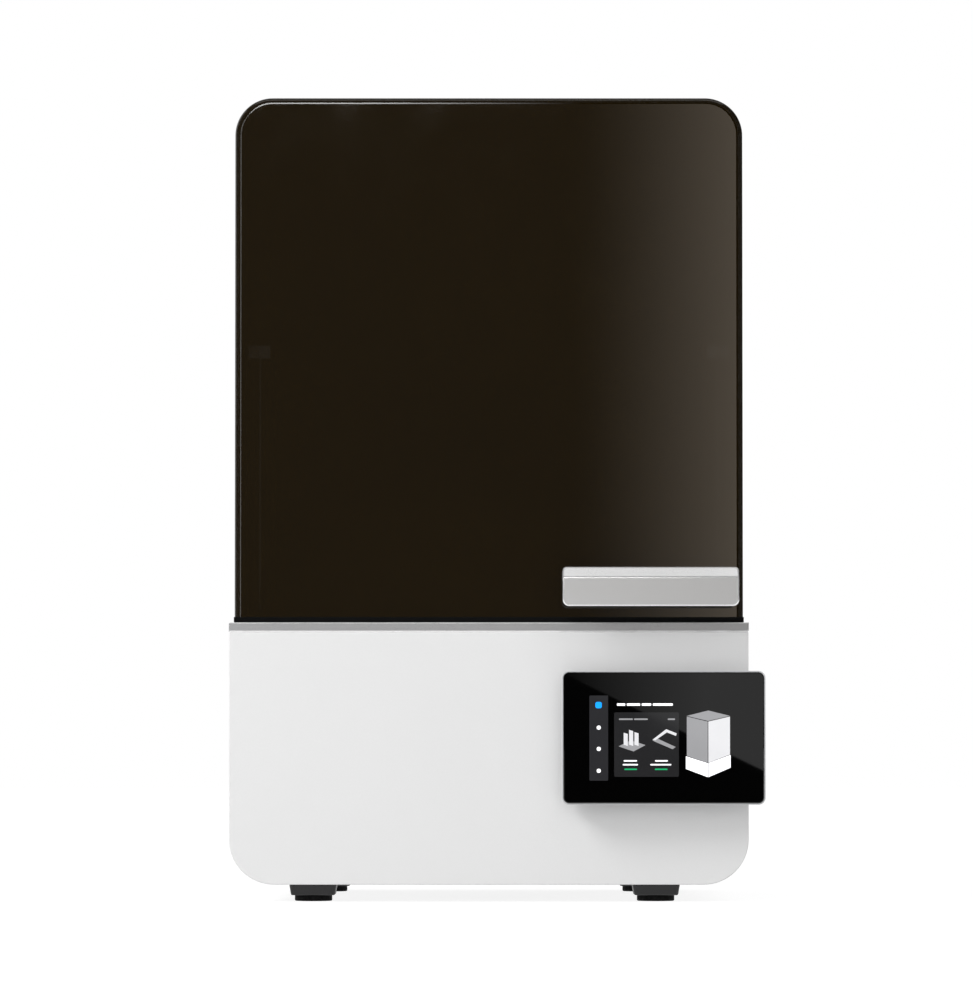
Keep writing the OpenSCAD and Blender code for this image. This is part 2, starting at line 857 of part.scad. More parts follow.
module z_column() {
    color(grey_metal) {
        translate([0, 0, deck_z]) linear_extrude(column_h) {
            translate([-column_w / 2, column_y + column_d - column_t]) square([column_w, column_t]);
            for (s = [-1, 1]) {
                translate([s * (column_w - column_t) / 2 - column_t / 2, column_y]) {
                    square([column_t, column_d]);
                }
                translate([s * rail_x - rail_in, column_y]) square([2 * rail_in, column_t + 1]);
            }
        }
        difference() {
            slab(column_w + 36, column_d + 8, foot_plate_t, 0, column_y + (column_d + 4) / 2, deck_z);
            rod_z(coupler_hole, deck_z - eps, deck_z + foot_plate_t + eps, 0, screw_y);
            for (p = column_screw_places()) {
                rod_z(column_screw_d, deck_z - eps, deck_z + foot_plate_t + eps, p[0], p[1]);
            }
        }
    }
}

function column_screw_places() = [for (sx = [-1, 1], sy = [-1, 1])
    [sx * (column_w / 2 + 9), column_y + column_d / 2 + 2 + sy * 18]];

bearing_d = 24;
bearing_t = 8;
journal_d = screw_d - 2;

module column_cap() {
    color(grey_metal) difference() {
        slab(column_w, column_d, cap_t, 0, column_y + column_d / 2, column_top);
        rod_z(bearing_d, column_top - eps, column_top + bearing_t, 0, screw_y);
        rod_z(bearing_d - 6, column_top, column_top + cap_t + eps, 0, screw_y);
    }
}

module screw_bearing() {
    color(bright_metal) difference() {
        rod_z(bearing_d, column_top, column_top + bearing_t, 0, screw_y);
        rod_z(journal_d + 2 * fit_gap, column_top - eps, column_top + bearing_t + eps, 0, screw_y);
    }
}

rail_z = deck_z + 8;
rail_l = column_top - rail_short - rail_z;
rail_holes = 12;
rail_head_d = 5.5;

function rail_screw_z(i) = rail_z + 12.5 + i * (rail_l - 25) / (rail_holes - 1);

module rail(x) {
    color("#d5d8da") difference() {
        slab(rail_w, rail_t, rail_l, x, rail_front + rail_t / 2, rail_z);
        for (i = [0 : rail_holes - 1]) {
            rod_y(rail_head_d + 0.5, rail_front - eps, rail_front + rail_t / 2 + 0.5, x, rail_screw_z(i));
            rod_y(3.5, rail_front - eps, column_y + eps, x, rail_screw_z(i));
        }
    }
}

module rail_left() {
    rail(-rail_x);
}

module rail_right() {
    rail(rail_x);
}

module axis_screws() {
    color(dark_metal) {
        for (x = [-rail_x, rail_x], i = [0 : rail_holes - 1]) {
            rod_y(rail_head_d, rail_front + 1.2, rail_front + rail_t / 2 + 0.5, x, rail_screw_z(i));
            rod_y(3.4, rail_front + rail_t / 2, column_y, x, rail_screw_z(i));
        }
        for (p = column_screw_places()) {
            rod_z(column_screw_d, deck_z, deck_z + foot_plate_t + 0.5, p[0], p[1]);
            difference() {
                rod_z(9, deck_z + foot_plate_t, deck_z + foot_plate_t + 5, p[0], p[1]);
                translate([p[0], p[1], deck_z + foot_plate_t + 2]) cylinder(d = 4.6, h = 4, $fn = 6);
            }
        }
    }
}

screw_z = deck_z + 12;
coupler_z = deck_z + 2;
coupler_l = 20;
shaft_d = 5;

module z_screw() {
    color("#aeb2b5") difference() {
        union() {
            rod_z(screw_d, screw_z, column_top - 1, 0, screw_y);
            rod_z(journal_d, column_top - 2, column_top + bearing_t + 1, 0, screw_y);
        }
        // thread relief rings near both ends
        for (z = [coupler_z + coupler_l + 2, column_top - 6]) {
            difference() {
                rod_z(screw_d + 1, z, z + 2, 0, screw_y);
                rod_z(screw_d - 2, z - 1, z + 3, 0, screw_y);
            }
        }
    }
}

module screw_coupler() {
    color(bright_metal) difference() {
        union() {
            rod_z(coupler_d, coupler_z, coupler_z + coupler_l, 0, screw_y);
            rod_z(shaft_d, base_top - 6, coupler_z + 1, 0, screw_y);
        }
        rod_z(screw_d, screw_z, coupler_z + coupler_l + 1, 0, screw_y);
        // clamping slits
        for (z = [coupler_z + 7, coupler_z + coupler_l - 8]) {
            slab(coupler_d, coupler_d / 2, 1, 0, screw_y + coupler_d / 2 + 2, z);
        }
    }
}

module z_motor() {
    cap = 9;
    color(black_plastic) difference() {
        union() {
            rounded_slab(motor_w, motor_w, cap, 4, 0, screw_y, base_top - cap);
            rounded_slab(motor_w - 1.5, motor_w - 1.5, motor_l - 1, 7, 0, screw_y, base_top - motor_l + 0.5);
            rounded_slab(motor_w, motor_w, cap, 4, 0, screw_y, base_top - motor_l);
        }
        rod_z(shaft_d + 1, base_top - 7, base_top + eps, 0, screw_y);
    }
}

module limit_sensor() {
    x0 = column_w / 2;
    sensor_w = flag_x + 5 - x0;
    color(black_plastic) difference() {
        slab(sensor_w, 16, 16, x0 + sensor_w / 2, column_y + 10, sensor_z);
        slab(3, 12, 16 + 2 * eps, flag_x, column_y + 8, sensor_z - eps);
    }
}

// ---------- rear cover and hood ----------

cover_side_gap = 8.1;
cover_w = inner_w - 2 * cover_side_gap;
cover_top = pivot_z + 20;
cover_wing_top = pivot_z - 20;
bracket_gap = 0.4;

module rear_cover() {
    color(dark_metal) difference() {
        union() {
            slab(inner_w - 1, cover_t, cover_wing_top - deck_z, 0, cover_rear - cover_t / 2, deck_z);
            slab(cover_w, cover_t, cover_top - deck_z, 0, cover_rear - cover_t / 2, deck_z);
            for (s = [-1, 1]) {
                translate([s * (cover_w - cover_t) / 2 - cover_t / 2, cover_front, deck_z]) {
                    cube([cover_t, cover_rear - cover_front, cover_top - deck_z]);
                }
                // foot flange that stands on the deck
                slab(14, 20, 3, s * (cover_w / 2 - 7), cover_rear - 11, deck_z);
            }
        }
        for (s = [-1, 1]) {
            rod_x(pivot_d, s * cover_w / 2 - 6, s * cover_w / 2 + 6, pivot_y, pivot_z);
        }
        // vent slots
        for (i = [0 : 8]) {
            slab(90, cover_t + 2, 4, 0, cover_rear - cover_t / 2, deck_z + 40 + i * 12);
        }
    }
}

module pivot_pins() {
    color(bright_metal) for (s = [-1, 1]) {
        x0 = s * (cover_w / 2 - cover_t - 4);
        x1 = s * (inner_w / 2 - 1);
        rod_x(pivot_d, min(x0, x1), max(x0, x1), pivot_y, pivot_z);
        // head inside the cover's flange
        head_x = s * (cover_w / 2 - cover_t - 2);
        rod_x(pivot_d + 8, head_x - 2, head_x + 2, pivot_y, pivot_z);
    }
}

module hood_brackets() {
    bracket_t = cover_side_gap - bracket_gap;
    bracket_h = 66;
    eye_d = 2 * pivot_d;
    color(grey_metal) for (s = [-1, 1]) {
        x0 = s > 0 ? inner_w / 2 - bracket_t : -inner_w / 2;
        difference() {
            union() {
                rod_x(eye_d, x0, x0 + bracket_t, pivot_y, pivot_z);
                translate([x0, pivot_y - eye_d / 2, pivot_z]) cube([bracket_t, 21, bracket_h]);
            }
            rod_x(pivot_d + 2 * fit_gap, x0 - eps, x0 + bracket_t + eps, pivot_y, pivot_z);
        }
    }
}

module hood_outline(inset = 0) {
    standing_outline(hood_w - 2 * inset, hood_top - hood_z - inset, 0, hood_corner_r - inset);
}

// The hood's outer form with its rounded front edges
module hood_form() {
    steps = 6;
    hull() {
        for (i = [0 : steps]) {
            a = i * 90 / steps;
            inset = hood_edge_r * (1 - sin(a));
            stand_up(hood_front + hood_edge_r * (1 - cos(a)), 0.01, hood_z) hood_outline(inset, $fn = 48);
        }
        stand_up(hood_rear - 0.01, 0.01, hood_z) hood_outline(0, $fn = 48);
    }
}

module hood_shell() {
    color(smoked_brown) difference() {
        hood_form();
        stand_up(hood_front + hood_wall, hood_rear - hood_front - 2 * hood_wall, hood_z) {
            hood_outline(hood_wall);
            translate([-inner_w / 2, -1]) square([inner_w, 20]);
        }
        // open behind the rear cover
        translate([-inner_w / 2, hood_rear - hood_wall - eps, hood_z - 1]) {
            cube([inner_w, hood_wall + 1, pivot_z + 17 - hood_z + 1]);
        }
    }
}

module hood_seal() {
    depth = hood_rear - hood_front;
    color("#0c0c0d") difference() {
        slab(hood_w + 0.6, depth, seal_h, 0, hood_front + depth / 2, seal_z);
        slab(inner_w - 0.6, depth, seal_h + 2 * eps, 0, hood_front + hood_wall + depth / 2, seal_z - eps);
    }
}

module hood_handle() {
    low = deck_z + handle_low;
    mid_x = hood_w / 2 - handle_in - handle_w / 2;
    bevel = 6.6;
    back = hood_front;
    front = back - handle_out;
    web_low = handle_h - bevel - 2;
    color(silver) intersection() {
        // the section: a hook that is open below
        translate([mid_x - handle_w / 2, 0, low]) rotate([90, 0, 90]) linear_extrude(handle_w) {
            polygon([[back, handle_h], [front + bevel, handle_h], [front, handle_h - bevel], [front, 0],
                [front + handle_t, 0], [front + handle_t, web_low], [back, web_low]]);
        }
        translate([mid_x, 0, 0]) stand_up(front - 1, handle_out + 2, low) {
            standing_outline(handle_w, handle_h, 4, 2.5);
        }
    }
}

// ---------- display ----------

neck_w = 70;
neck_h = 46;
display_back = front_y - neck_l;
display_front = display_back - display_t;
module_w = display_w - 22.4;
module_h = display_h - 16.4;
module_t = 7;
rebate = 0.6;

// A display-shaped slab from y to y + t, smaller by inset on every side
module display_slab(y, t, inset) {
    w = display_w - 2 * inset;
    h = display_h - 2 * inset;
    translate([display_x, 0, display_z]) stand_up(y, t) rounded_rect(w, h, display_r - inset);
}

module display_neck() {
    color(grey_metal) translate([display_x, 0, display_z]) difference() {
        stand_up(display_back, neck_l) rounded_rect(neck_w, neck_h, 6);
        rod_y(cable_hole, display_back - eps, front_y + eps, 0, 0);
    }
}

module display_housing() {
    color(white_paint) difference() {
        display_slab(display_front, display_t, 0);
        display_slab(display_front - eps, rebate + eps, 1);
        // pocket of the screen module
        translate([display_x, 0, display_z]) stand_up(display_front, module_t + seat_gap) {
            square([module_w + 2 * seat_gap, module_h + 2 * seat_gap], center = true);
        }
        translate([display_x, 0, display_z]) rod_y(cable_hole, display_back - 4, display_back + eps, 0, 0);
    }
}

module display_glass() {
    color("#0d0f12") {
        display_slab(display_front + rebate - glass_t, glass_t, 1);
        translate([display_x, 0, display_z]) stand_up(display_front + rebate - 0.5, module_t - rebate) {
            square([module_w, module_h], center = true);
        }
    }
}

// ---------- electronics ----------

board_lift = 8;
board_t = 1.6;
board_size = [124, 96];
board_side_in = 25;
board_end_in = 10;
supply_size = [96, 78, 34];
supply_side_in = 41;
supply_end_in = 23;
supply_slots = 10;
supply_pitch = 8;

module main_board() {
    bx = base_w / 2 - board_side_in - board_size[0] / 2;
    by = rear_y - board_end_in - board_size[1] / 2;
    board_z = floor_z + board_lift;
    part_z = board_z + board_t - eps;
    color(board_green) {
        slab(board_size[0], board_size[1], board_t, bx, by, board_z);
        slab(22, 22, 3, bx - 10, by, part_z);
        slab(16, 30, 12, bx + 40, by - 20, part_z);
        for (i = [0 : 5]) {
            slab(9, 6, 7, bx - 50 + i * 14, by + 38, part_z);
        }
        for (i = [0 : 2]) {
            rod_z(8, part_z, part_z + 12.5, bx + 12 + i * 12, by + 15);
        }
        // stand-offs
        for (sx = [-1, 1], sy = [-1, 1]) {
            post = [bx + sx * (board_size[0] / 2 - 8), by + sy * (board_size[1] / 2 - 6)];
            rod_z(6, floor_z, board_z + 0.5, post[0], post[1]);
        }
    }
}

module power_supply() {
    sx = supply_side_in + supply_size[0] / 2 - base_w / 2;
    sy = rear_y - supply_end_in - supply_size[1] / 2;
    color("#b9bcbf") difference() {
        slab(supply_size[0], supply_size[1], supply_size[2], sx, sy, floor_z);
        for (i = [0 : supply_slots - 1]) {
            x = sx + (i - (supply_slots - 1) / 2) * supply_pitch;
            slab(slot_cut, supply_size[1] - 18, 3, x, sy, floor_z + supply_size[2] - 2);
        }
    }
}

rear_hub = 30;

module at_rear_fan() {
    translate([rear_fan_x, rear_y - rear_t, rear_fan_z]) rotate([90, 0, 0]) children();
}

module rear_fan_frame() {
    color(black_plastic) at_rear_fan() fan_frame(rear_fan_w, rear_fan_t, rear_hub);
}

module rear_fan_rotor() {
    color("#26282b") at_rear_fan() fan_rotor(rear_fan_w, rear_fan_t, rear_hub);
}

well_w = 20.4;
well_h = 12.8;
well_z = inlet_z + 13;
switch_y = rear_y - 3.5;
switch_pin = 2.5;

module power_inlet() {
    socket_z = inlet_z - 9;
    color(black_plastic) difference() {
        union() {
            translate([inlet_x - inlet_w / 2, rear_y - inlet_depth, inlet_z - inlet_h / 2]) {
                cube([inlet_w, inlet_depth, inlet_h]);
            }
            translate([inlet_x - inlet_w / 2 - 2, rear_y, inlet_z - inlet_h / 2 - 2]) {
                cube([inlet_w + 4, 2, inlet_h + 4]);
            }
        }
        // socket well with its three pins left standing
        difference() {
            translate([inlet_x - 12.2, rear_y - 17, socket_z - 8]) cube([24.4, 20, 16]);
            for (dx = [-7, 0, 7]) {
                translate([inlet_x + dx - 1, rear_y - 18, socket_z - 2]) cube([2, 14, 4]);
            }
        }
        // well of the rocker, with its pivot holes
        translate([inlet_x - well_w / 2, rear_y - 9, well_z - well_h / 2]) cube([well_w, 12, well_h]);
        translate([inlet_x, switch_y, well_z]) {
            cylinder(d = switch_pin + 2 * fit_gap, h = well_h + 4, center = true);
        }
    }
}

module power_switch() {
    half = well_w / 2 - 1.1;
    tall = well_h - 2 * seat_gap;
    color("#222326") translate([inlet_x, switch_y, well_z]) {
        translate([0, 0, -tall / 2]) linear_extrude(tall) {
            polygon([[-half, 5.5], [0, 3.8], [half, 5.5], [half, 1], [0, -3.4], [-half, 1]]);
        }
        cylinder(d = switch_pin, h = well_h + 3, center = true);
    }
}

base_shell();
front_panel();
rear_panel();
panel_screws();
deck_plate();
foot_front_left();
foot_front_right();
foot_rear_left();
foot_rear_right();
foot_pads();
mask_screen();
light_box();
lens_plate();
led_board();
heatsink();
light_fan_frame();
light_fan_rotor();
vat_frame();
vat_film();
film_clamp();
film_screws();
vat_knob_left();
vat_knob_right();
vat_stops();
build_plate();
platform_body();
platform_bracket();
platform_screws();
platform_knob();
z_arm();
nut_block();
screw_nut();
carriage_left();
carriage_right();
sensor_flag();
z_column();
column_cap();
rail_left();
rail_right();
axis_screws();
z_screw();
screw_coupler();
screw_bearing();
z_motor();
limit_sensor();
rear_cover();
pivot_pins();
hood_brackets();
hood_shell();
hood_seal();
hood_handle();
display_neck();
display_housing();
display_glass();
main_board();
power_supply();
rear_fan_frame();
rear_fan_rotor();
power_inlet();
power_switch();
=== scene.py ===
"""Looks of a desktop resin printer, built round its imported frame."""

import json
import logging
import math
from dataclasses import dataclass
from enum import Enum

import bmesh
import bpy
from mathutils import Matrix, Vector

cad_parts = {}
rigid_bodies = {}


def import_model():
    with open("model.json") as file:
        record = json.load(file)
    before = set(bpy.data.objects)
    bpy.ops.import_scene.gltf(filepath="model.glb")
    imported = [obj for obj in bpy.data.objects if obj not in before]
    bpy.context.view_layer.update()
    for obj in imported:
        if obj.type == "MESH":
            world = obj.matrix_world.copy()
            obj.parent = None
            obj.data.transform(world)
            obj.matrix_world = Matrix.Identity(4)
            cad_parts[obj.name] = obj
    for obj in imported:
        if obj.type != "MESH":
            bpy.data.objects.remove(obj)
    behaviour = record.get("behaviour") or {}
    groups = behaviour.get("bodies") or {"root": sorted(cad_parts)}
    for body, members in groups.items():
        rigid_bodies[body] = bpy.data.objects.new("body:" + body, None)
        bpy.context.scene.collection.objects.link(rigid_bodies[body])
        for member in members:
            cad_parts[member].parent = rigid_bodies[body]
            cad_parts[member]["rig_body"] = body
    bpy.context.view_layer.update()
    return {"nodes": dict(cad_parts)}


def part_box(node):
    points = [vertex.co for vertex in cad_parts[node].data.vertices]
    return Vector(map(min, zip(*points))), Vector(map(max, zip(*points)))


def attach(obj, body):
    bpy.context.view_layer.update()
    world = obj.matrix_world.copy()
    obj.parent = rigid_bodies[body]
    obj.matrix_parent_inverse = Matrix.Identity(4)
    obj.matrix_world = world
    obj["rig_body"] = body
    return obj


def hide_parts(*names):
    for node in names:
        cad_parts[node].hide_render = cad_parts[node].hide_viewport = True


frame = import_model()

LOG = logging.getLogger("resin_printer")
MM = 0.001
Colour = tuple[float, float, float]
Point = tuple[float, float]
Place = tuple[float, float, float]
BLACK: Colour = (0.0, 0.0, 0.0)


def paint(red: int, green: int, blue: int) -> Colour:
    """A screen colour as the linear colour that a shader takes.

    Args:
        red: red, 0 to 255.
        green: green, 0 to 255.
        blue: blue, 0 to 255.

    Returns:
        The linear colour.
    """
    parts = [c / 255 for c in (red, green, blue)]
    return tuple(c / 12.92 if c <= 0.04045 else ((c + 0.055) / 1.055) ** 2.4 for c in parts)


class Texture(Enum):
    """What the surface of a finish shows close up."""

    ORANGE_PEEL = "orange peel of a sprayed coat"
    BLASTED = "fine blasted or anodised grain"
    BRUSHED = "lines brushed along x"
    TURNED = "lines that run round z"
    MOULDED = "fine spark grain of a mould"
    POLISHED = "smooth, with a faint haze"
    CAST = "coarse cast or machined skin"
    BOARD = "copper tracks under solder mask"


# cells a metre along x, y, z; bump height in metres; how far the roughness drifts
GRAIN = {
    Texture.ORANGE_PEEL: ((700, 700, 700), 0.00003, 0.06),
    Texture.BLASTED: ((3600, 3600, 3600), 0.00001, 0.04),
    Texture.BRUSHED: ((60, 4200, 4200), 0.00002, 0.10),
    Texture.TURNED: ((2400, 2400, 90), 0.00002, 0.08),
    Texture.MOULDED: ((1500, 1500, 1500), 0.00004, 0.08),
    Texture.POLISHED: ((40, 40, 40), 0.0, 0.015),
    Texture.CAST: ((420, 420, 420), 0.00012, 0.12),
    Texture.BOARD: ((240, 240, 240), 0.00005, 0.10),
}
PATCHES = (9, 9, 9)
FINE_DETAIL = 3.0
PATCH_DETAIL = 4.0
BUMP_STRENGTH = 0.5
COAT_ROUGHNESS = 0.06
MIRROR_ROUGHNESS = 0.01
# noise values between which the colour and the roughness change
TINT_FROM, TINT_TO, TRACKS_FROM = 0.12, 0.42, 0.27
ROUGH_FROM, ROUGH_TO = 0.3, 0.7


@dataclass(frozen=True)
class Finish:
    """One finish of the printer.

    Attributes:
        name: what the finish is called.
        colour: linear colour of the surface.
        roughness: middle of the roughness.
        texture: what it shows close up.
        metallic: 1 for bare metal, 0 for paint and plastic.
        drift: share by which the colour darkens in patches.
        ior: index of refraction.
        coat: weight of a clear coat.
        alpha: 1 for a surface that nothing shows through.
        glow: strength at which the surface lights up in its colour.
    """

    name: str
    colour: Colour
    roughness: float
    texture: Texture
    metallic: float = 0.0
    drift: float = 0.06
    ior: float = 1.5
    coat: float = 0.0
    alpha: float = 1.0
    glow: float = 0.0

    def material(self) -> bpy.types.Material:
        """The finish as a material, made once."""
        label = f"{self.name}_finish"
        made = bpy.data.materials.get(label)
        if made is not None:
            return made
        made = bpy.data.materials.new(label)
        made.use_nodes = True
        tree = made.node_tree
        shader = tree.nodes["Principled BSDF"]
        shader.inputs["Metallic"].default_value = self.metallic
        shader.inputs["IOR"].default_value = self.ior
        shader.inputs["Coat Weight"].default_value = self.coat
        shader.inputs["Coat Roughness"].default_value = COAT_ROUGHNESS
        shader.inputs["Alpha"].default_value = self.alpha
        place = tree.nodes.new("ShaderNodeTexCoord").outputs["Object"]
        cells, height, spread = GRAIN[self.texture]
        fine = self._noise(tree, place, cells, FINE_DETAIL)
        broad = self._noise(tree, place, PATCHES, PATCH_DETAIL)
        self._tint(tree, shader, broad, fine)
        self._rough(tree, shader, fine, spread)
        if height:
            bump = tree.nodes.new("ShaderNodeBump")
            bump.inputs["Strength"].default_value = BUMP_STRENGTH
            bump.inputs["Distance"].default_value = height
            tree.links.new(fine, bump.inputs["Height"])
            tree.links.new(bump.outputs["Normal"], shader.inputs["Normal"])
        if self.glow:
            shader.inputs["Emission Strength"].default_value = self.glow
            shader.inputs["Emission Color"].default_value = (*self.colour, 1)
        return made

    @staticmethod
    def _noise(
        tree: bpy.types.NodeTree, place: bpy.types.NodeSocket, cells: tuple, detail: float
    ) -> bpy.types.NodeSocket:
        """Adds noise on object coordinates.

        Args:
            tree: the material's nodes.
            place: the object coordinates.
            cells: cells a metre along each axis.
            detail: octaves of the noise.

        Returns:
            The noise, 0 to 1.
        """
        mapping = tree.nodes.new("ShaderNodeMapping")
        mapping.inputs["Scale"].default_value = cells
        tree.links.new(place, mapping.inputs["Vector"])
        noise = tree.nodes.new("ShaderNodeTexNoise")
        noise.inputs["Scale"].default_value = 1.0
        noise.inputs["Detail"].default_value = detail
        tree.links.new(mapping.outputs["Vector"], noise.inputs["Vector"])
        return noise.outputs["Fac"]

    def _tint(
        self,
        tree: bpy.types.NodeTree,
        shader: bpy.types.Node,
        broad: bpy.types.NodeSocket,
        fine: bpy.types.NodeSocket,
    ) -> None:
        """Lets the colour drift in broad patches and in the fine grain.

        Args:
            tree: the material's nodes.
            shader: the surface shader.
            broad: slow noise.
            fine: the grain.
        """
        both = tree.nodes.new("ShaderNodeMath")
        both.operation = "MULTIPLY"
        tree.links.new(broad, both.inputs[0])
        tree.links.new(fine, both.inputs[1])
        ramp = tree.nodes.new("ShaderNodeValToRGB")
        low, high = ramp.color_ramp.elements
        low.position, high.position = TINT_FROM, TINT_TO
        dark = tuple(c * (1 - self.drift) for c in self.colour)
        low.color, high.color = (*dark, 1), (*self.colour, 1)
        if self.texture is Texture.BOARD:
            ramp.color_ramp.interpolation = "CONSTANT"
            high.position = TRACKS_FROM
        tree.links.new(both.outputs["Value"], ramp.inputs["Fac"])
        tree.links.new(ramp.outputs["Color"], shader.inputs["Base Color"])

    def _rough(
        self,
        tree: bpy.types.NodeTree,
        shader: bpy.types.Node,
        fine: bpy.types.NodeSocket,
        spread: float,
    ) -> None:
        """Lets the roughness follow the grain.

        Args:
            tree: the material's nodes.
            shader: the surface shader.
            fine: the grain.
            spread: how far the roughness moves each way.
        """
        span = tree.nodes.new("ShaderNodeMapRange")
        span.inputs["From Min"].default_value = ROUGH_FROM
        span.inputs["From Max"].default_value = ROUGH_TO
        span.inputs["To Min"].default_value = max(self.roughness - spread, MIRROR_ROUGHNESS)
        span.inputs["To Max"].default_value = min(self.roughness + spread, 1.0)
        tree.links.new(fine, span.inputs["Value"])
        tree.links.new(span.outputs["Result"], shader.inputs["Roughness"])


WHITE_COAT = Finish("white_coat", paint(233, 233, 233), 0.42, Texture.ORANGE_PEEL, drift=0.02)
DECK_COAT = Finish("deck_coat", paint(166, 166, 167), 0.3, Texture.BLASTED, 0.45, 0.02)
# near-white, glossier finish for the deck's broken edges: a painted highlight line along its top and lower
# edge
DECK_EDGE_HIGHLIGHT = Finish("deck_edge_painted_highlight", paint(252, 252, 252), 0.25, Texture.BRUSHED, 0.6, 0.01)
DARK_COAT = Finish("dark_coat", paint(52, 53, 56), 0.5, Texture.ORANGE_PEEL)
COLUMN_COAT = Finish("column_coat", paint(92, 94, 97), 0.42, Texture.BLASTED, 0.3)
BARE_ALUMINIUM = Finish("bare_aluminium", paint(196, 197, 200), 0.36, Texture.BLASTED, 1.0)
MILLED_ALUMINIUM = Finish("milled_aluminium", paint(178, 180, 183), 0.4, Texture.CAST, 1.0, 0.1)
LED_CLEAR = Finish("led_clear", paint(232, 224, 170), 0.2, Texture.POLISHED)
BRUSHED_PLATE = Finish("brushed_plate", paint(188, 189, 192), 0.32, Texture.BRUSHED, 1.0)
SILVER_ANODISED = Finish("silver_anodised", paint(204, 204, 204), 0.32, Texture.BLASTED, 0.55, 0.015)
# near-white, glossier finish for the handle's broken edges: a painted highlight line round its edges
SILVER_EDGE_HIGHLIGHT = Finish("silver_edge_painted_highlight", paint(254, 254, 254), 0.3, Texture.BLASTED, 0.6, 0.01)
GUIDE_STEEL = Finish("guide_steel", paint(176, 178, 182), 0.16, Texture.BRUSHED, 1.0)
SCREW_STEEL = Finish("screw_steel", paint(160, 161, 165), 0.24, Texture.TURNED, 1.0)
BRONZE = Finish("bronze", paint(186, 138, 72), 0.3, Texture.TURNED, 1.0)
BLACK_PLASTIC = Finish("black_plastic", paint(28, 28, 29), 0.45, Texture.MOULDED)
PAD_RUBBER = Finish("pad_rubber", paint(8, 8, 8), 0.82, Texture.CAST, ior=1.3)
SEAL_RUBBER = Finish("seal_rubber", paint(4, 4, 4), 0.75, Texture.MOULDED, ior=1.25)
HOOD_ACRYLIC = Finish(
    "hood_acrylic", paint(25, 17, 3), 0.03, Texture.POLISHED, drift=0.1, ior=1.49, alpha=0.935
)
HOUSING_PLASTIC = Finish("housing_plastic", paint(214, 215, 217), 0.36, Texture.MOULDED)
COVER_GLASS = Finish("cover_glass", paint(4, 4, 4), 0.0, Texture.POLISHED)
SCREEN_GLASS = Finish("screen_glass", paint(12, 13, 16), 0.04, Texture.POLISHED)
LENS_CLEAR = Finish("lens_clear", paint(225, 230, 236), 0.08, Texture.POLISHED, alpha=0.35)
FILM_CLEAR = Finish("film_clear", paint(214, 220, 228), 0.12, Texture.POLISHED, alpha=0.22)
BOARD_GREEN = Finish("board_green", paint(26, 84, 52), 0.4, Texture.BOARD, drift=0.35)
SUPPLY_METAL = Finish("supply_metal", paint(168, 170, 172), 0.34, Texture.BRUSHED, 1.0)

SLOT_FINISH = {
    "white_paint": WHITE_COAT,
    "deck_metal": DECK_COAT,
    "dark_paint": DARK_COAT,
    "column_metal": COLUMN_COAT,
    "bare_aluminium": BARE_ALUMINIUM,
    "silver_metal": SILVER_ANODISED,
    "guide_steel": GUIDE_STEEL,
    "screw_steel": SCREW_STEEL,
    "bronze": BRONZE,
    "black_plastic": BLACK_PLASTIC,
    "pad_rubber": PAD_RUBBER,
    "seal_rubber": SEAL_RUBBER,
    "hood_acrylic": HOOD_ACRYLIC,
    "housing_plastic": HOUSING_PLASTIC,
    "cover_glass": COVER_GLASS,
    "screen_glass": SCREEN_GLASS,
    "lens_clear": LENS_CLEAR,
    "film_clear": FILM_CLEAR,
    "board": BOARD_GREEN,
    "supply_metal": SUPPLY_METAL,
}
NODE_SLOT = {
    name: node.material_slots[0].material.name.split(".")[0]
    for name, node in frame["nodes"].items()
}


# a fold past SHARP degrees is an edge, and an outline that spans less than SMALL isn't broken
SHARP = 35.0
SMALL = 8 * MM
# cosines of the angles between which a face leans, past a flat one and short of an upright one; these
# broken-edge faces can take a lighter finish as a painted highlight
LEANS_FROM, LEANS_TO = 0.2, 0.98


def dress(node: str) -> None:
    """Gives a CAD node the finish of its slot.

    Args:
        node: name of the node.
    """
    for slot in frame["nodes"][node].material_slots:
        slot.material = SLOT_FINISH[NODE_SLOT[node]].material()


def merged(node: str) -> bmesh.types.BMesh:
    """A merged copy of a CAD node's mesh with its flat faces joined.

    Args:
        node: name of the node.

    Returns:
        The copy.
    """
    source = frame["nodes"][node].data
    bm = bmesh.new()
    corners = [bm.verts.new(v.co) for v in source.vertices]
    for polygon in source.polygons:
        loop = [corners[i] for i in polygon.vertices]
        if len(set(loop)) > 2:
            bm.faces.new(loop)
    bmesh.ops.remove_doubles(bm, verts=bm.verts, dist=2e-6)
    bmesh.ops.dissolve_limit(
        bm, angle_limit=math.radians(0.6), verts=bm.verts, edges=bm.edges, use_dissolve_boundaries=False
    )
    return bm


def finished(
    name: str, bm: bmesh.types.BMesh, finish: Finish, body: str, edge: float = 0.0, smooth: float = 40.0
) -> bpy.types.Object:
    """Makes a piece from a mesh, with its sharp edges broken, riding on a body.

    Args:
        name: name of the piece.
        bm: its mesh, freed here.
        finish: its finish.
        body: the CAD body it rides on.
        edge: width of the broken edges in metres, or 0 for none.
        smooth: faces that meet at less than this angle in degrees shade as one.

    Returns:
        The piece.
    """
    if edge:
        mark_edges(bm, edge)
    hard = [line.index for line in bm.edges if not line.smooth]
    mesh = bpy.data.meshes.new(name)
    bm.to_mesh(mesh)
    bm.free()
    piece = bpy.data.objects.new(name, mesh)
    bpy.context.scene.collection.objects.link(piece)
    mesh.materials.append(finish.material())
    for polygon in mesh.polygons:
        polygon.use_smooth = True
    mesh.set_sharp_from_angle(angle=math.radians(smooth))
    for index in hard:
        mesh.edges[index].use_edge_sharp = True
    if edge:
        bevel = piece.modifiers.new("broken_edges", "BEVEL")
        bevel.width = edge
        bevel.segments = 2
        bevel.limit_method = "WEIGHT"
        bevel.use_clamp_overlap = True
    even = piece.modifiers.new("even_faces", "WEIGHTED_NORMAL")
    even.keep_sharp = True
    bake_modifiers(piece)
    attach(piece, body)
    return piece


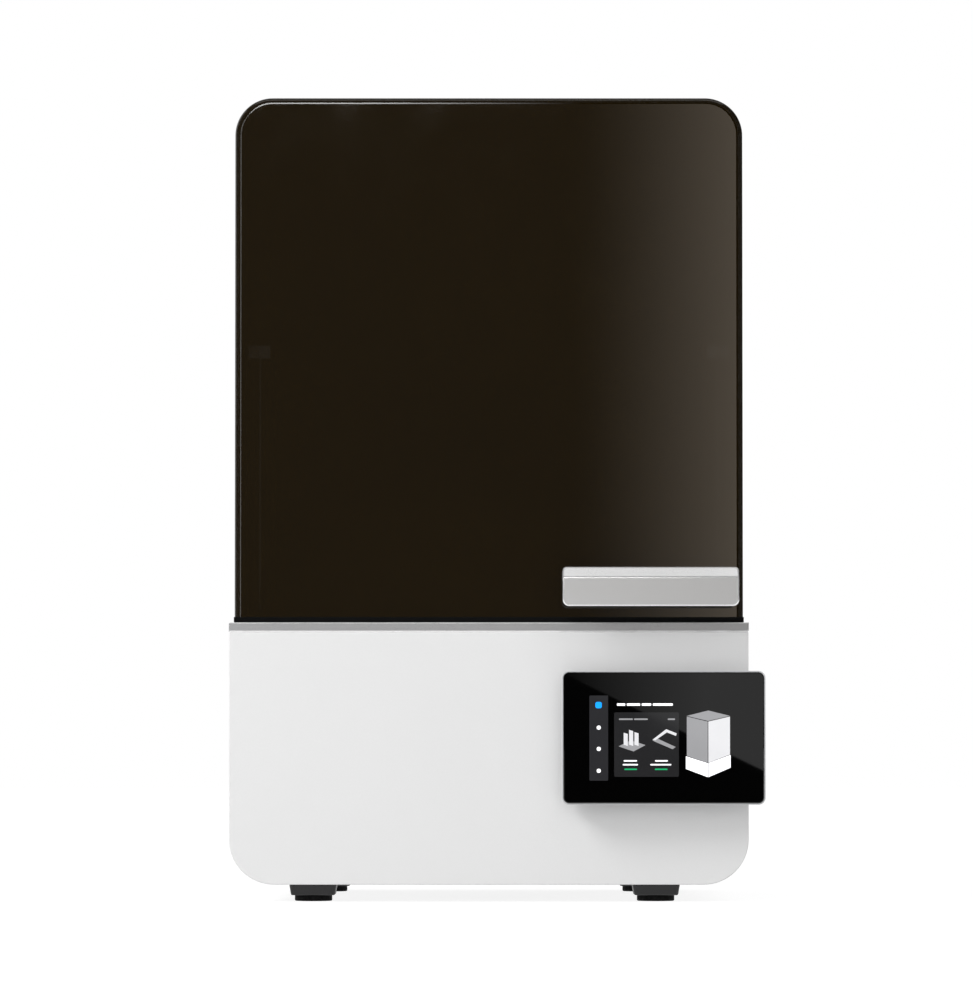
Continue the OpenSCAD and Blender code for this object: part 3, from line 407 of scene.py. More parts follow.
def mark_edges(bm: bmesh.types.BMesh, edge: float) -> None:
    """Marks the sharp edges that get broken, leaving out outlines too small for it.

    Args:
        bm: the mesh.
        edge: width of the broken edges, in metres.
    """
    layer = bm.edges.layers.float.new("bevel_weight_edge")
    limit = math.radians(SHARP)
    sharp = {e for e in bm.edges if len(e.link_faces) == 2 and e.calc_face_angle(0.0) > limit}
    while sharp:
        line = [sharp.pop()]
        for part in line:
            for vert in part.verts:
                for other in vert.link_edges:
                    if other in sharp:
                        sharp.remove(other)
                        line.append(other)
        corners = [vert.co for part in line for vert in part.verts]
        spans = [max(c[k] for c in corners) - min(c[k] for c in corners) for k in range(3)]
        if max(spans) > max(SMALL, 6 * edge):
            for part in line:
                part[layer] = 1.0


def bake_modifiers(piece: bpy.types.Object) -> None:
    """Turns a piece's modifiers into its mesh.

    Args:
        piece: the piece, which has at least one modifier.
    """
    graph = bpy.context.evaluated_depsgraph_get()
    made = bpy.data.meshes.new_from_object(
        piece.evaluated_get(graph), preserve_all_data_layers=True, depsgraph=graph
    )
    piece.modifiers.clear()
    old = piece.data
    made.name = piece.name
    piece.data = made
    bpy.data.meshes.remove(old)


def softened(
    node: str, edge: float, finish: Finish | None = None, cut: Finish | None = None, across: int = 2
) -> bpy.types.Object:
    """A copy of a CAD node with broken edges that stands for it.

    Args:
        node: name of the node.
        edge: width of the broken edges, in metres.
        finish: the finish, or None for the one of its slot.
        cut: lighter finish of the faces that lean along one axis, which are the broken edges, as a painted
            highlight line; or None for the same.
        across: number of that axis.

    Returns:
        The piece.
    """
    slot = NODE_SLOT[node]
    body = frame["nodes"][node]["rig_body"]
    piece = finished(f"{node}_skin", merged(node), finish or SLOT_FINISH[slot], body, edge)
    # the leaning faces are the broken edges; the lighter finish on them is a painted highlight
    if cut:
        piece.data.materials.append(cut.material())
        for polygon in piece.data.polygons:
            if LEANS_FROM < abs(polygon.normal[across]) < LEANS_TO:
                polygon.material_index = 1
    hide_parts(node)
    return piece


def islands(node: str) -> list[tuple[Vector, Vector]]:
    """The separate solids of a CAD node.

    Args:
        node: name of the node.

    Returns:
        The lowest and highest corner of each.
    """
    bm = merged(node)
    left = set(bm.verts)
    boxes = []
    while left:
        reached = [left.pop()]
        for vert in reached:
            for edge in vert.link_edges:
                other = edge.other_vert(vert)
                if other in left:
                    left.remove(other)
                    reached.append(other)
        low = Vector([min(v.co[i] for v in reached) for i in range(3)])
        high = Vector([max(v.co[i] for v in reached) for i in range(3)])
        boxes.append((low, high))
    bm.free()
    return sorted(boxes, key=lambda box: tuple(round(c, 4) for c in box[0]))


class NodeShape:
    """A Geometry Nodes tree that puts one shape on each of the points it is given."""

    def __init__(self, name: str) -> None:
        """Starts the tree.

        Args:
            name: name of the node group.
        """
        self.group = bpy.data.node_groups.new(name, "GeometryNodeTree")
        self.keys: dict[str, str] = {}
        self.group.interface.new_socket("Geometry", in_out="INPUT", socket_type="NodeSocketGeometry")
        self.group.interface.new_socket("Geometry", in_out="OUTPUT", socket_type="NodeSocketGeometry")
        self.start = self.group.nodes.new("NodeGroupInput")
        self.end = self.group.nodes.new("NodeGroupOutput")

    def named(self, name: str, kind: str = "NodeSocketFloat") -> bpy.types.NodeSocket:
        """Adds a named input.

        Args:
            name: name of the input.
            kind: type of its socket.

        Returns:
            The socket that gives its value inside the tree.
        """
        socket = self.group.interface.new_socket(name, in_out="INPUT", socket_type=kind)
        self.keys[name] = socket.identifier
        return self.start.outputs[name]

    def node(self, kind: str, inputs: dict | None = None, **settings: object) -> bpy.types.Node:
        """Adds a node.

        Args:
            kind: its type.
            inputs: what goes into its sockets, as values or as sockets to link.
            settings: its properties.

        Returns:
            The node.
        """
        node = self.group.nodes.new(kind)
        for key, value in settings.items():
            setattr(node, key, value)
        for key, value in (inputs or {}).items():
            if isinstance(value, bpy.types.NodeSocket):
                self.group.links.new(value, node.inputs[key])
            else:
                node.inputs[key].default_value = value
        return node

    def sum(self, operation: str, one: object, two: object) -> bpy.types.NodeSocket:
        """A sum of two numbers.

        Args:
            operation: name of the Math node's operation.
            one: number or socket.
            two: number or socket.

        Returns:
            The result.
        """
        return self.node("ShaderNodeMath", {0: one, 1: two}, operation=operation).outputs[0]

    def at_height(self, mesh: bpy.types.NodeSocket, height: object) -> bpy.types.NodeSocket:
        """Moves a shape along z.

        Args:
            mesh: the shape.
            height: number or socket.

        Returns:
            The moved shape.
        """
        place = self.node("ShaderNodeCombineXYZ", {"Z": height}).outputs[0]
        return self.node("GeometryNodeTransform", {"Geometry": mesh, "Translation": place}).outputs[0]

    def close(self, shape: bpy.types.NodeSocket) -> "NodeShape":
        """Ends the tree with real geometry that has its material.

        Args:
            shape: what the tree has made.

        Returns:
            The tree.
        """
        finish = self.named("Finish", "NodeSocketMaterial")
        real = self.node("GeometryNodeRealizeInstances", {"Geometry": shape}).outputs[0]
        dressed = self.node("GeometryNodeSetMaterial", {"Geometry": real, "Material": finish}).outputs[0]
        self.group.links.new(dressed, self.end.inputs[0])
        return self

    def made(self, name: str, places: list[Vector], sizes: dict, finish: Finish) -> bmesh.types.BMesh:
        """Runs the tree on points.

        Args:
            name: name of the piece that it is for.
            places: the points.
            sizes: values of the named inputs.
            finish: its finish.

        Returns:
            The plain mesh.
        """
        points = bpy.data.meshes.new(f"{name}_places")
        points.from_pydata([tuple(place) for place in places], [], [])
        holder = bpy.data.objects.new(f"{name}_places", points)
        bpy.context.scene.collection.objects.link(holder)
        modifier = holder.modifiers.new(name, "NODES")
        modifier.node_group = self.group
        for label, value in {**sizes, "Finish": finish.material()}.items():
            modifier[self.keys[label]] = value
        graph = bpy.context.evaluated_depsgraph_get()
        made = bpy.data.meshes.new_from_object(holder.evaluated_get(graph), depsgraph=graph)
        holder.modifiers.clear()
        bpy.data.objects.remove(holder)
        bpy.data.meshes.remove(points)
        bm = bmesh.new()
        bm.from_mesh(made)
        bpy.data.meshes.remove(made)
        return bm


class Facing(Enum):
    """Which way the head of a screw looks."""

    UP = (0.0, 0.0, 1.0)
    DOWN = (0.0, 0.0, -1.0)
    FRONT = (0.0, -1.0, 0.0)
    BACK = (0.0, 1.0, 0.0)


@dataclass
class Screws:
    """Socket screws that stand where the CAD node has its screws.

    Attributes:
        node: the CAD node.
        facing: which way the heads look.
        head: diameter of a head.
        head_high: height of a head.
        recess: width of the hexagon across its corners.
        recess_deep: depth of the hexagon.
        shank: diameter of a shank.
        only_wide: takes only solids at least this wide, or 0 for all.
        narrower_than: takes only solids less wide than this.
    """

    node: str
    facing: Facing
    head: float
    head_high: float
    recess: float
    recess_deep: float
    shank: float
    only_wide: float = 0.0
    narrower_than: float = 1.0

    @staticmethod
    def tree() -> NodeShape:
        """The tree that makes a socket screw on each point, made once."""
        shape = NodeShape("socket_screw")
        names = ("Head", "Head High", "Recess", "Recess Deep", "Shank", "Length", "Chamfer")
        head, high, recess, deep, shank, length, chamfer = (shape.named(n) for n in names)
        axis = shape.named("Axis", "NodeSocketVector")
        half = shape.sum("MULTIPLY", head, 0.5)
        straight = shape.sum("SUBTRACT", high, chamfer)
        barrel = shape.node("GeometryNodeMeshCylinder", {"Vertices": 24, "Radius": half, "Depth": straight})
        seated = shape.at_height(barrel.outputs["Mesh"], shape.sum("MULTIPLY", straight, 0.5))
        raised = shape.node(
            "GeometryNodeExtrudeMesh",
            {"Mesh": seated, "Selection": barrel.outputs["Top"], "Offset Scale": chamfer},
            mode="FACES",
        )
        share = shape.sum("SUBTRACT", 1.0, shape.sum("DIVIDE", chamfer, half))
        crowned = shape.node(
            "GeometryNodeScaleElements",
            {"Geometry": raised.outputs["Mesh"], "Selection": raised.outputs["Top"], "Scale": share},
            domain="FACE",
        )
        across = shape.sum("MULTIPLY", recess, 0.5)
        through = shape.sum("MULTIPLY", deep, 2.0)
        cutter = shape.node(
            "GeometryNodeMeshCylinder", {"Vertices": 6, "Radius": across, "Depth": through}
        )
        lowered = shape.at_height(cutter.outputs["Mesh"], high)
        socketed = shape.node(
            "GeometryNodeMeshBoolean",
            {"Mesh 1": crowned.outputs[0], "Mesh 2": lowered},
            operation="DIFFERENCE",
        )
        stem = shape.node(
            "GeometryNodeMeshCylinder",
            {"Vertices": 16, "Radius": shape.sum("MULTIPLY", shank, 0.5), "Depth": length},
        )
        sunk = shape.at_height(stem.outputs["Mesh"], shape.sum("MULTIPLY", length, -0.5))
        whole = shape.node("GeometryNodeJoinGeometry")
        shape.group.links.new(socketed.outputs["Mesh"], whole.inputs[0])
        shape.group.links.new(sunk, whole.inputs[0])
        turn = shape.node("FunctionNodeAlignRotationToVector", {"Vector": axis}, axis="Z")
        placed = shape.node(
            "GeometryNodeInstanceOnPoints",
            {"Points": shape.start.outputs[0], "Instance": whole.outputs[0], "Rotation": turn.outputs[0]},
        )
        return shape.close(placed.outputs[0])

    def mesh(self, tree: NodeShape, finish: Finish) -> bmesh.types.BMesh:
        """Runs the tree for this kind of screw.

        Args:
            tree: the screw tree.
            finish: the screws' finish.

        Returns:
            The plain mesh.
        """
        axis = Vector(self.facing.value)
        line = max(range(3), key=lambda i: abs(axis[i]))
        seats = []
        length = 0.0
        for low, high in islands(self.node):
            if not self.only_wide <= high.x - low.x < self.narrower_than:
                continue
            top = (low + high) / 2
            top[line] = high[line] if axis[line] > 0 else low[line]
            seats.append(top - axis * self.head_high)
            length = (high - low)[line] - self.head_high
        LOG.info("%s: %d screws", self.node, len(seats))
        sizes = {
            "Head": self.head,
            "Head High": self.head_high,
            "Recess": self.recess,
            "Recess Deep": self.recess_deep,
            "Shank": self.shank,
            "Length": length,
            "Chamfer": min(0.35 * MM, 0.2 * self.head_high),
            "Axis": tuple(axis),
        }
        return tree.made(self.node, seats, sizes, finish)


def screwed(tree: NodeShape, *kinds: Screws) -> None:
    """Makes the screws of one CAD node as one piece that stands for it.

    Args:
        tree: the screw tree.
        kinds: the kinds of screw in the node.
    """
    node = kinds[0].node
    whole = bmesh.new()
    for kind in kinds:
        join(whole, kind.mesh(tree, SCREW_STEEL))
    piece = finished(f"{node}_socketed", whole, SCREW_STEEL, frame["nodes"][node]["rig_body"], smooth=28)
    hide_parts(node)
    report(piece)


def join(whole: bmesh.types.BMesh, part: bmesh.types.BMesh) -> None:
    """Adds a mesh to another and frees it.

    Args:
        whole: the mesh that grows.
        part: the mesh that is added.
    """
    scratch = bpy.data.meshes.new("scratch")
    part.to_mesh(scratch)
    part.free()
    whole.from_mesh(scratch)
    bpy.data.meshes.remove(scratch)


def extruded(outline: list[Point], front: float, depth: float) -> bmesh.types.BMesh:
    """A plate that stands in the xz plane.

    Args:
        outline: its corners as x and z, counter-clockwise seen from the front.
        front: y of its front face.
        depth: how far it goes back.

    Returns:
        The closed mesh.
    """
    bm = bmesh.new()
    near = [bm.verts.new((x, front, z)) for x, z in outline]
    far = [bm.verts.new((x, front + depth, z)) for x, z in outline]
    bm.faces.new(near)
    bm.faces.new(far[::-1])
    for i in range(len(near)):
        j = (i + 1) % len(near)
        bm.faces.new((near[j], near[i], far[i], far[j]))
    bmesh.ops.recalc_face_normals(bm, faces=bm.faces)
    return bm


def rounded_box(x: float, z: float, width: float, height: float, radius: float) -> list[Point]:
    """Outline of a box with round corners, counter-clockwise.

    Args:
        x: left edge.
        z: lower edge.
        width: size along x.
        height: size along z.
        radius: of the corners.

    Returns:
        The outline's points.
    """
    steps = 5
    centres = [
        (x + width - radius, z + radius, -90),
        (x + width - radius, z + height - radius, 0),
        (x + radius, z + height - radius, 90),
        (x + radius, z + radius, 180),
    ]
    points = []
    for cx, cz, start in centres:
        for k in range(steps + 1):
            turn = math.radians(start + 90 * k / steps)
            points.append((cx + radius * math.cos(turn), cz + radius * math.sin(turn)))
    return points


@dataclass
class Hood:
    """The dark flip-up hood: its shell, seal, handle and brackets.

    Attributes:
        wall: thickness of the acrylic.
        corner: radius of the two top corners.
        fillet: rounding of the front edge.
        rear_wall: height above which the back is closed.
        corner_steps: flats round each top corner.
        fillet_steps: flats round the front edge.
        handle_edge: broken edges of the handle.
        bracket_edge: broken edges of the brackets.
        body: the CAD body that carries it.
    """

    wall: float = 3.0 * MM
    corner: float = 24.0 * MM
    fillet: float = 4.2 * MM
    rear_wall: float = 406.2 * MM
    corner_steps: int = 24
    fillet_steps: int = 12
    handle_edge: float = 0.8 * MM
    bracket_edge: float = 0.4 * MM
    body: str = "hood"

    def outline(self, inset: float) -> list[Point]:
        """The shell's outline from the lower left over the top to the lower right.

        Args:
            inset: distance inside the outer outline.

        Returns:
            Points as x and z.
        """
        low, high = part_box("hood_shell")
        half = high.x - inset
        top = high.z - inset
        radius = self.corner - inset
        side = [(-half, low.z), (-half, self.rear_wall)]
        arc = []
        for k in range(self.corner_steps + 1):
            turn = math.radians(90 * k / self.corner_steps)
            arc.append((-half + radius * (1 - math.cos(turn)), top - radius * (1 - math.sin(turn))))
        left = side + arc
        return left + [(-x, z) for x, z in reversed(left)]

    def shell(self) -> bpy.types.Object:
        """Builds the shell as one closed skin."""
        low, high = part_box("hood_shell")
        bm = bmesh.new()

        def row(inset: float, y: float) -> list[bmesh.types.BMVert]:
            """A row of points round the outline at one depth."""
            return [bm.verts.new((x, y, z)) for x, z in self.outline(inset)]

        def strip(one: list, two: list) -> None:
            """Faces between two rows."""
            for a, b, c, d in zip(one, one[1:], two[1:], two):
                bm.faces.new((a, b, c, d))

        outer = []
        for k in range(self.fillet_steps + 1):
            turn = math.radians(90 * k / self.fillet_steps)
            inset = self.fillet * (1 - math.sin(turn))
            outer.append(row(inset, low.y + self.fillet * (1 - math.cos(turn))))
        outer.append(row(0, high.y))
        for one, two in zip(outer, outer[1:]):
            strip(one, two)
        inner_front = row(self.wall, low.y + self.wall)
        inner_back = row(self.wall, high.y - self.wall)
        strip(inner_back, inner_front)
        rear = outer[-1]
        inner_rim = [bm.verts.new((v.co.x, high.y, v.co.z)) for v in inner_back[:2] + inner_back[-2:]]
        bm.faces.new(outer[0])
        bm.faces.new(inner_front[::-1])
        bm.faces.new([inner_rim[1]] + rear[1:-1] + [inner_rim[2]])
        bm.faces.new(inner_back[1:-1][::-1])
        bm.faces.new((inner_rim[1], inner_rim[2], inner_back[-2], inner_back[1]))
        for rim, back, out in (
            (inner_rim[:2], inner_back[:2], rear[:2]),
            (inner_rim[2:], inner_back[-2:], rear[-2:]),
        ):
            bm.faces.new((rim[0], rim[1], back[1], back[0]))
            bm.faces.new((out[0], out[1], rim[1], rim[0]))
        left_foot = [line[0] for line in outer]
        right_foot = [line[-1] for line in outer]
        under = left_foot[::-1] + right_foot + [inner_rim[3], inner_back[-1], inner_front[-1]]
        under += [inner_front[0], inner_back[0], inner_rim[0]]
        bm.faces.new(under)
        bmesh.ops.recalc_face_normals(bm, faces=bm.faces)
        face = min(bm.faces, key=lambda f: f.calc_center_median().y)
        for line in face.edges:
            line.smooth = False
        bmesh.ops.triangulate(bm, faces=[f for f in bm.faces if len(f.verts) > 4])
        bm.edges.index_update()
        piece = finished("hood_shell_skin", bm, HOOD_ACRYLIC, self.body, smooth=25)
        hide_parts("hood_shell")
        return piece

    def build(self) -> None:
        """Builds and dresses the hood."""
        report(self.shell())
        # the handle's broken edges take the near-white finish, a painted highlight line
        report(softened("hood_handle", self.handle_edge, cut=SILVER_EDGE_HIGHLIGHT, across=1))
        dress("hood_seal")
        report(softened("hood_brackets", self.bracket_edge, DARK_COAT))


@dataclass
class Display:
    """The touch display: housing, cover glass and what the lit panel shows.

    Attributes:
        panel_width: lit width of the panel; not used.
        panel_height: lit height of the panel; not used.
        panel_left: x of the lit panel's left edge.
        panel_low: z of its lower edge.
        film: thickness of a shown shape.
        layers: films between the bare glass and the front of its CAD solid.
        body: the CAD body that carries it.
    """

    panel_width: float = 95.0 * MM
    panel_height: float = 53.9 * MM
    panel_left: float = 63.4 * MM
    panel_low: float = 77.2 * MM
    film: float = 0.03 * MM
    layers: int = 4
    body: str = "base"

    def glass_front(self) -> float:
        """Y of the front of the cover glass."""
        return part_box("display_glass")[0].y

    def shape(self, name: str, shapes: list[list[Point]], ink: Finish, layer: int) -> None:
        """Lays flat shapes on the panel as one piece.

        Args:
            name: name of the piece.
            shapes: outlines in millimetres from the panel's lower left corner.
            ink: their finish.
            layer: 1 for the lowest.
        """
        whole = bmesh.new()
        front = self.glass_front() + (self.layers - layer) * self.film
        for outline in shapes:
            placed = [(self.panel_left + u * MM, self.panel_low + v * MM) for u, v in outline]
            join(whole, extruded(placed, front, self.film * layer))
        piece = finished(name, whole, ink, self.body)
        report(piece)

    def glass(self) -> None:
        """Builds the cover glass with its front just under the panel's shapes."""
        bm = merged("display_glass")
        front = self.glass_front()
        for vert in bm.verts:
            if vert.co.y < front + 0.01 * MM:
                vert.co.y = front + self.layers * self.film
        piece = finished("display_cover_glass", bm, COVER_GLASS, self.body, 0.5 * MM)
        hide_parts("display_glass")
        report(piece)

    def menu(self) -> None:
        """Lays out the generic menu: a side bar, a card with two shapes and a box picture."""
        inks = {
            "bar_grey": (34, 34, 36),
            "card_grey": (29, 29, 30),
            "white": (236, 236, 238),
            "dim": (128, 128, 130),
            "pale": (186, 186, 188),
            "blue": (22, 142, 240),
            "green": (24, 150, 92),
        }
        grey, card, white, dim, pale, blue, green = (
            Finish(f"menu_{name}", paint(*shade), 0.04, Texture.POLISHED, glow=0.9)
            for name, shade in inks.items()
        )
        self.shape("menu_side_bar", [rounded_box(0, 0, 11.8, 53.6, 0.6)], grey, 1)
        self.shape("menu_card", [rounded_box(15.6, 2.4, 40.8, 40.6, 0.8)], card, 1)
        self.shape("menu_marker_blue", [rounded_box(3.8, 45.6, 4.0, 4.0, 1.2)], blue, 2)
        rounds = [rounded_box(4.6, z, 2.6, 2.6, 1.25) for z in (32.1, 18.7, 4.9)]
        self.shape("menu_markers_white", rounds, white, 2)
        bars = [(17.4, 47.2, 5.2), (23.6, 47.2, 8.4), (33.0, 47.2, 6.0), (40.0, 47.2, 12.6)]
        bars += [(21.6, 12.0, 8.4), (21.0, 9.6, 9.6), (41.4, 12.0, 8.0), (38.4, 9.6, 13.2)]
        lines = [rounded_box(u, v, w, 1.5 if v > 40 else 0.9, 0.4) for u, v, w in bars]
        self.shape("menu_lines_white", lines, white, 2)
        heads = [(18.6, 38.2, 8.8), (28.2, 38.2, 8.6), (49.4, 38.2, 4.6)]
        self.shape("menu_lines_dim", [rounded_box(u, v, w, 1.0, 0.4) for u, v, w in heads], dim, 2)
        marks = [rounded_box(u, 6.7, 8.0, 0.9, 0.4) for u in (22.0, 41.2)]
        self.shape("menu_lines_green", marks, green, 2)
        self.pictures(white, pale, dim)

    def pictures(self, white: Finish, pale: Finish, dim: Finish) -> None:
        """Draws the two small shapes of the card and the plain box beside it.

        Args:
            white: the lightest ink.
            pale: the middle ink.
            dim: the darkest ink.
        """
        slab = [(18.4, 21.6), (27.8, 18.4), (35.4, 22.4), (26.0, 25.4)]
        stick = [(39.8, 25.2), (52.4, 19.8), (54.4, 21.2), (41.8, 27.0)]
        self.shape("menu_slab", [slab, stick], dim, 2)
        tops = ((21.6, 29.4), (25.0, 31.2), (28.4, 29.8))
        blocks = [[(u, 22.6), (u + 2.6, 21.8), (u + 2.6, top), (u, top + 0.8)] for u, top in tops]
        lift = [(39.8, 25.8), (41.6, 25.4), (48.8, 30.4), (54.6, 28.2), (55.0, 29.8), (48.4, 32.4)]
        self.shape("menu_blocks", [*blocks, lift], pale, 3)
        box_left = [(61.4, 15.6), (74.6, 11.2), (74.6, 37.2), (61.4, 40.4)]
        box_right = [(75.0, 11.2), (88.6, 16.4), (88.6, 40.4), (75.0, 37.2)]
        box_top = [(61.4, 40.8), (74.8, 37.6), (88.6, 40.8), (75.0, 44.2)]
        self.shape("menu_box_sides", [box_left, box_top], dim, 2)
        self.shape("menu_box_right", [box_right], pale, 2)
        foot_left = [(60.8, 7.4), (74.6, 2.2), (74.6, 11.0), (60.8, 15.4)]
        foot_right = [(75.0, 2.2), (89.0, 8.2), (89.0, 16.2), (75.0, 11.0)]
        self.shape("menu_box_foot", [foot_left, foot_right], white, 2)

    def build(self) -> None:
        """Builds and dresses the display."""
        report(softened("display_housing", 0.8 * MM))
        report(softened("display_neck", 0.5 * MM))
        self.glass()
        self.menu()


@dataclass
class Base:
    """The sheet-metal base, its deck, feet and what is fixed in it.

    Attributes:
        fold: rounding of the folded sheet's edges.
        deck_edge: cut edges of the deck.
        foot_edge: broken edges of the feet.
        pad_edge: broken edges of their pads.
    """

    fold: float = 0.5 * MM
    deck_edge: float = 0.7 * MM
    foot_edge: float = 0.8 * MM
    pad_edge: float = 0.7 * MM

    def build(self) -> None:
        """Builds and dresses the base."""
        for node in ("base_shell", "front_panel", "rear_panel"):
            report(softened(node, self.fold))
        # the deck's broken edges take the near-white finish, a painted highlight line
        report(softened("deck_plate", self.deck_edge, cut=DECK_EDGE_HIGHLIGHT))
        for node in ("foot_front_left", "foot_front_right", "foot_rear_left", "foot_rear_right"):
            report(softened(node, self.foot_edge))
        report(softened("foot_pads", self.pad_edge))


@dataclass
class Vat:
    """The resin vat with its film, clamp, screws, knobs and stops.

    Attributes:
        edge: broken edges of the milled frame.
    """

    edge: float = 0.7 * MM

    def build(self, screws: NodeShape) -> None:
        """Builds and dresses the vat.

        Args:
            screws: the screw tree.
        """
        report(softened("vat_frame", self.edge, MILLED_ALUMINIUM))
        report(softened("film_clamp", 0.3 * MM))
        report(softened("vat_stops", 0.6 * MM))
        for node in ("vat_knob_left", "vat_knob_right"):
            report(softened(node, 0.4 * MM))
        sizes = (5.6 * MM, 1.7 * MM, 2.9 * MM, 1.1 * MM, 2.9 * MM)
        screwed(screws, Screws("film_screws", Facing.DOWN, *sizes))


@dataclass
class Platform:
    """The build platform: plate, sloped body, bracket, levelling screws and star knob.

    Attributes:
        edge: broken edges of the plate.
    """

    edge: float = 0.8 * MM

    def build(self, screws: NodeShape) -> None:
        """Builds and dresses the platform.

        Args:
            screws: the screw tree.
        """
        report(softened("build_plate", self.edge, BRUSHED_PLATE))
        report(softened("platform_body", 0.9 * MM))
        report(softened("platform_bracket", 0.5 * MM, MILLED_ALUMINIUM))
        report(softened("platform_knob", 0.7 * MM))
        sizes = (8.5 * MM, 5.0 * MM, 4.6 * MM, 3.0 * MM, 5.0 * MM)
        screwed(screws, Screws("platform_screws", Facing.UP, *sizes))


@dataclass
class Axis:
    """The vertical axis: column, rails, carriages, lifting screw, nut, arm and motor.

    Attributes:
        crest: radius of the lifting screw over its thread.
        core: radius of its core.
        wire: radius of the round ridge that makes the thread.
        lead: travel in one turn.
        starts: number of threads side by side.
        journal: greatest length of a plain end.
        run_in: from the lower end of the thread's CAD solid to where the ridges start.
        run_out: left free above the ridges.
    """

    crest: float = 6.0 * MM
    core: float = 5.25 * MM
    wire: float = 0.62 * MM
    lead: float = 8.0 * MM
    starts: int = 4
    journal: float = 20.0 * MM
    run_in: float = 24.0 * MM
    run_out: float = 1.5 * MM

    @staticmethod
    def thread_tree() -> NodeShape:
        """The tree that winds one ridge for each point it is given."""
        shape = NodeShape("lifting_thread")
        length, radius, wire, turns, step = (
            shape.named(n) for n in ("Length", "Radius", "Wire", "Turns", "Step")
        )
        helix = shape.node(
            "GeometryNodeCurveSpiral",
            {
                "Resolution": 18,
                "Rotations": turns,
                "Start Radius": radius,
                "End Radius": radius,
                "Height": length,
                "Reverse": False,
            },
        )
        section = shape.node("GeometryNodeCurvePrimitiveCircle", {"Resolution": 6, "Radius": wire})
        ridge = shape.node(
            "GeometryNodeCurveToMesh",
            {"Curve": helix.outputs[0], "Profile Curve": section.outputs[0], "Fill Caps": True},
        )
        index = shape.node("GeometryNodeInputIndex").outputs[0]
        angle = shape.node("ShaderNodeCombineXYZ", {"Z": shape.sum("MULTIPLY", index, step)})
        turn = shape.node("FunctionNodeEulerToRotation", {0: angle.outputs[0]})
        placed = shape.node(
            "GeometryNodeInstanceOnPoints",
            {"Points": shape.start.outputs[0], "Instance": ridge.outputs[0], "Rotation": turn.outputs[0]},
        )
        return shape.close(placed.outputs[0])

    def lifting_screw(self) -> bpy.types.Object:
        """Builds the lifting screw with its thread."""
        bm = merged("z_screw")
        low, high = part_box("z_screw")
        mid = (low + high) / 2
        threaded = []
        for vert in bm.verts:
            off = Vector((vert.co.x - mid.x, vert.co.y - mid.y))
            if off.length > self.crest - 0.1 * MM:
                threaded.append(vert.co.z)
                off *= self.core / off.length
                vert.co.x, vert.co.y = mid.x + off.x, mid.y + off.y
        stops = sorted({round(z, 5) for z in threaded})
        first, last = stops[0], stops[-1]
        inner = [z for z in stops if first + self.journal < z < last - 1 * MM]
        end = min([z for z in inner if z > last - self.journal] or [last])
        start = first + self.run_in
        length = end - start - self.run_out
        sizes = {
            "Length": length,
            "Radius": self.crest - self.wire - 0.02 * MM,
            "Wire": self.wire,
            "Turns": length / self.lead,
            "Step": 2 * math.pi / self.starts,
        }
        places = [Vector((mid.x, mid.y, start))] * self.starts
        join(bm, self.thread_tree().made("z_screw", places, sizes, SCREW_STEEL))
        piece = finished("z_screw_threaded", bm, GUIDE_STEEL, frame["nodes"]["z_screw"]["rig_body"], smooth=50)
        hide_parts("z_screw")
        return piece

    def build(self, screws: NodeShape) -> None:
        """Builds and dresses the axis.

        Args:
            screws: the screw tree.
        """
        edges = {
            "z_column": 0.5,
            "column_cap": 0.8,
            "rail_left": 0.4,
            "rail_right": 0.4,
            "carriage_left": 0.5,
            "carriage_right": 0.5,
            "nut_block": 0.6,
            "z_arm": 0.7,
            "screw_nut": 0.4,
            "screw_coupler": 0.3,
            "z_motor": 0.5,
            "limit_sensor": 0.4,
            "rear_cover": 0.4,
        }
        for node, edge in edges.items():
            report(softened(node, edge * MM))
        report(self.lifting_screw())
        small = (5.5 * MM, 3.3 * MM, 3.0 * MM, 1.8 * MM, 3.4 * MM)
        large = (9.0 * MM, 5.0 * MM, 4.6 * MM, 3.0 * MM, 5.4 * MM)
        between = 7.0 * MM
        screwed(
            screws,
            Screws("axis_screws", Facing.FRONT, *small, narrower_than=between),
            Screws("axis_screws", Facing.UP, *large, only_wide=between),
        )


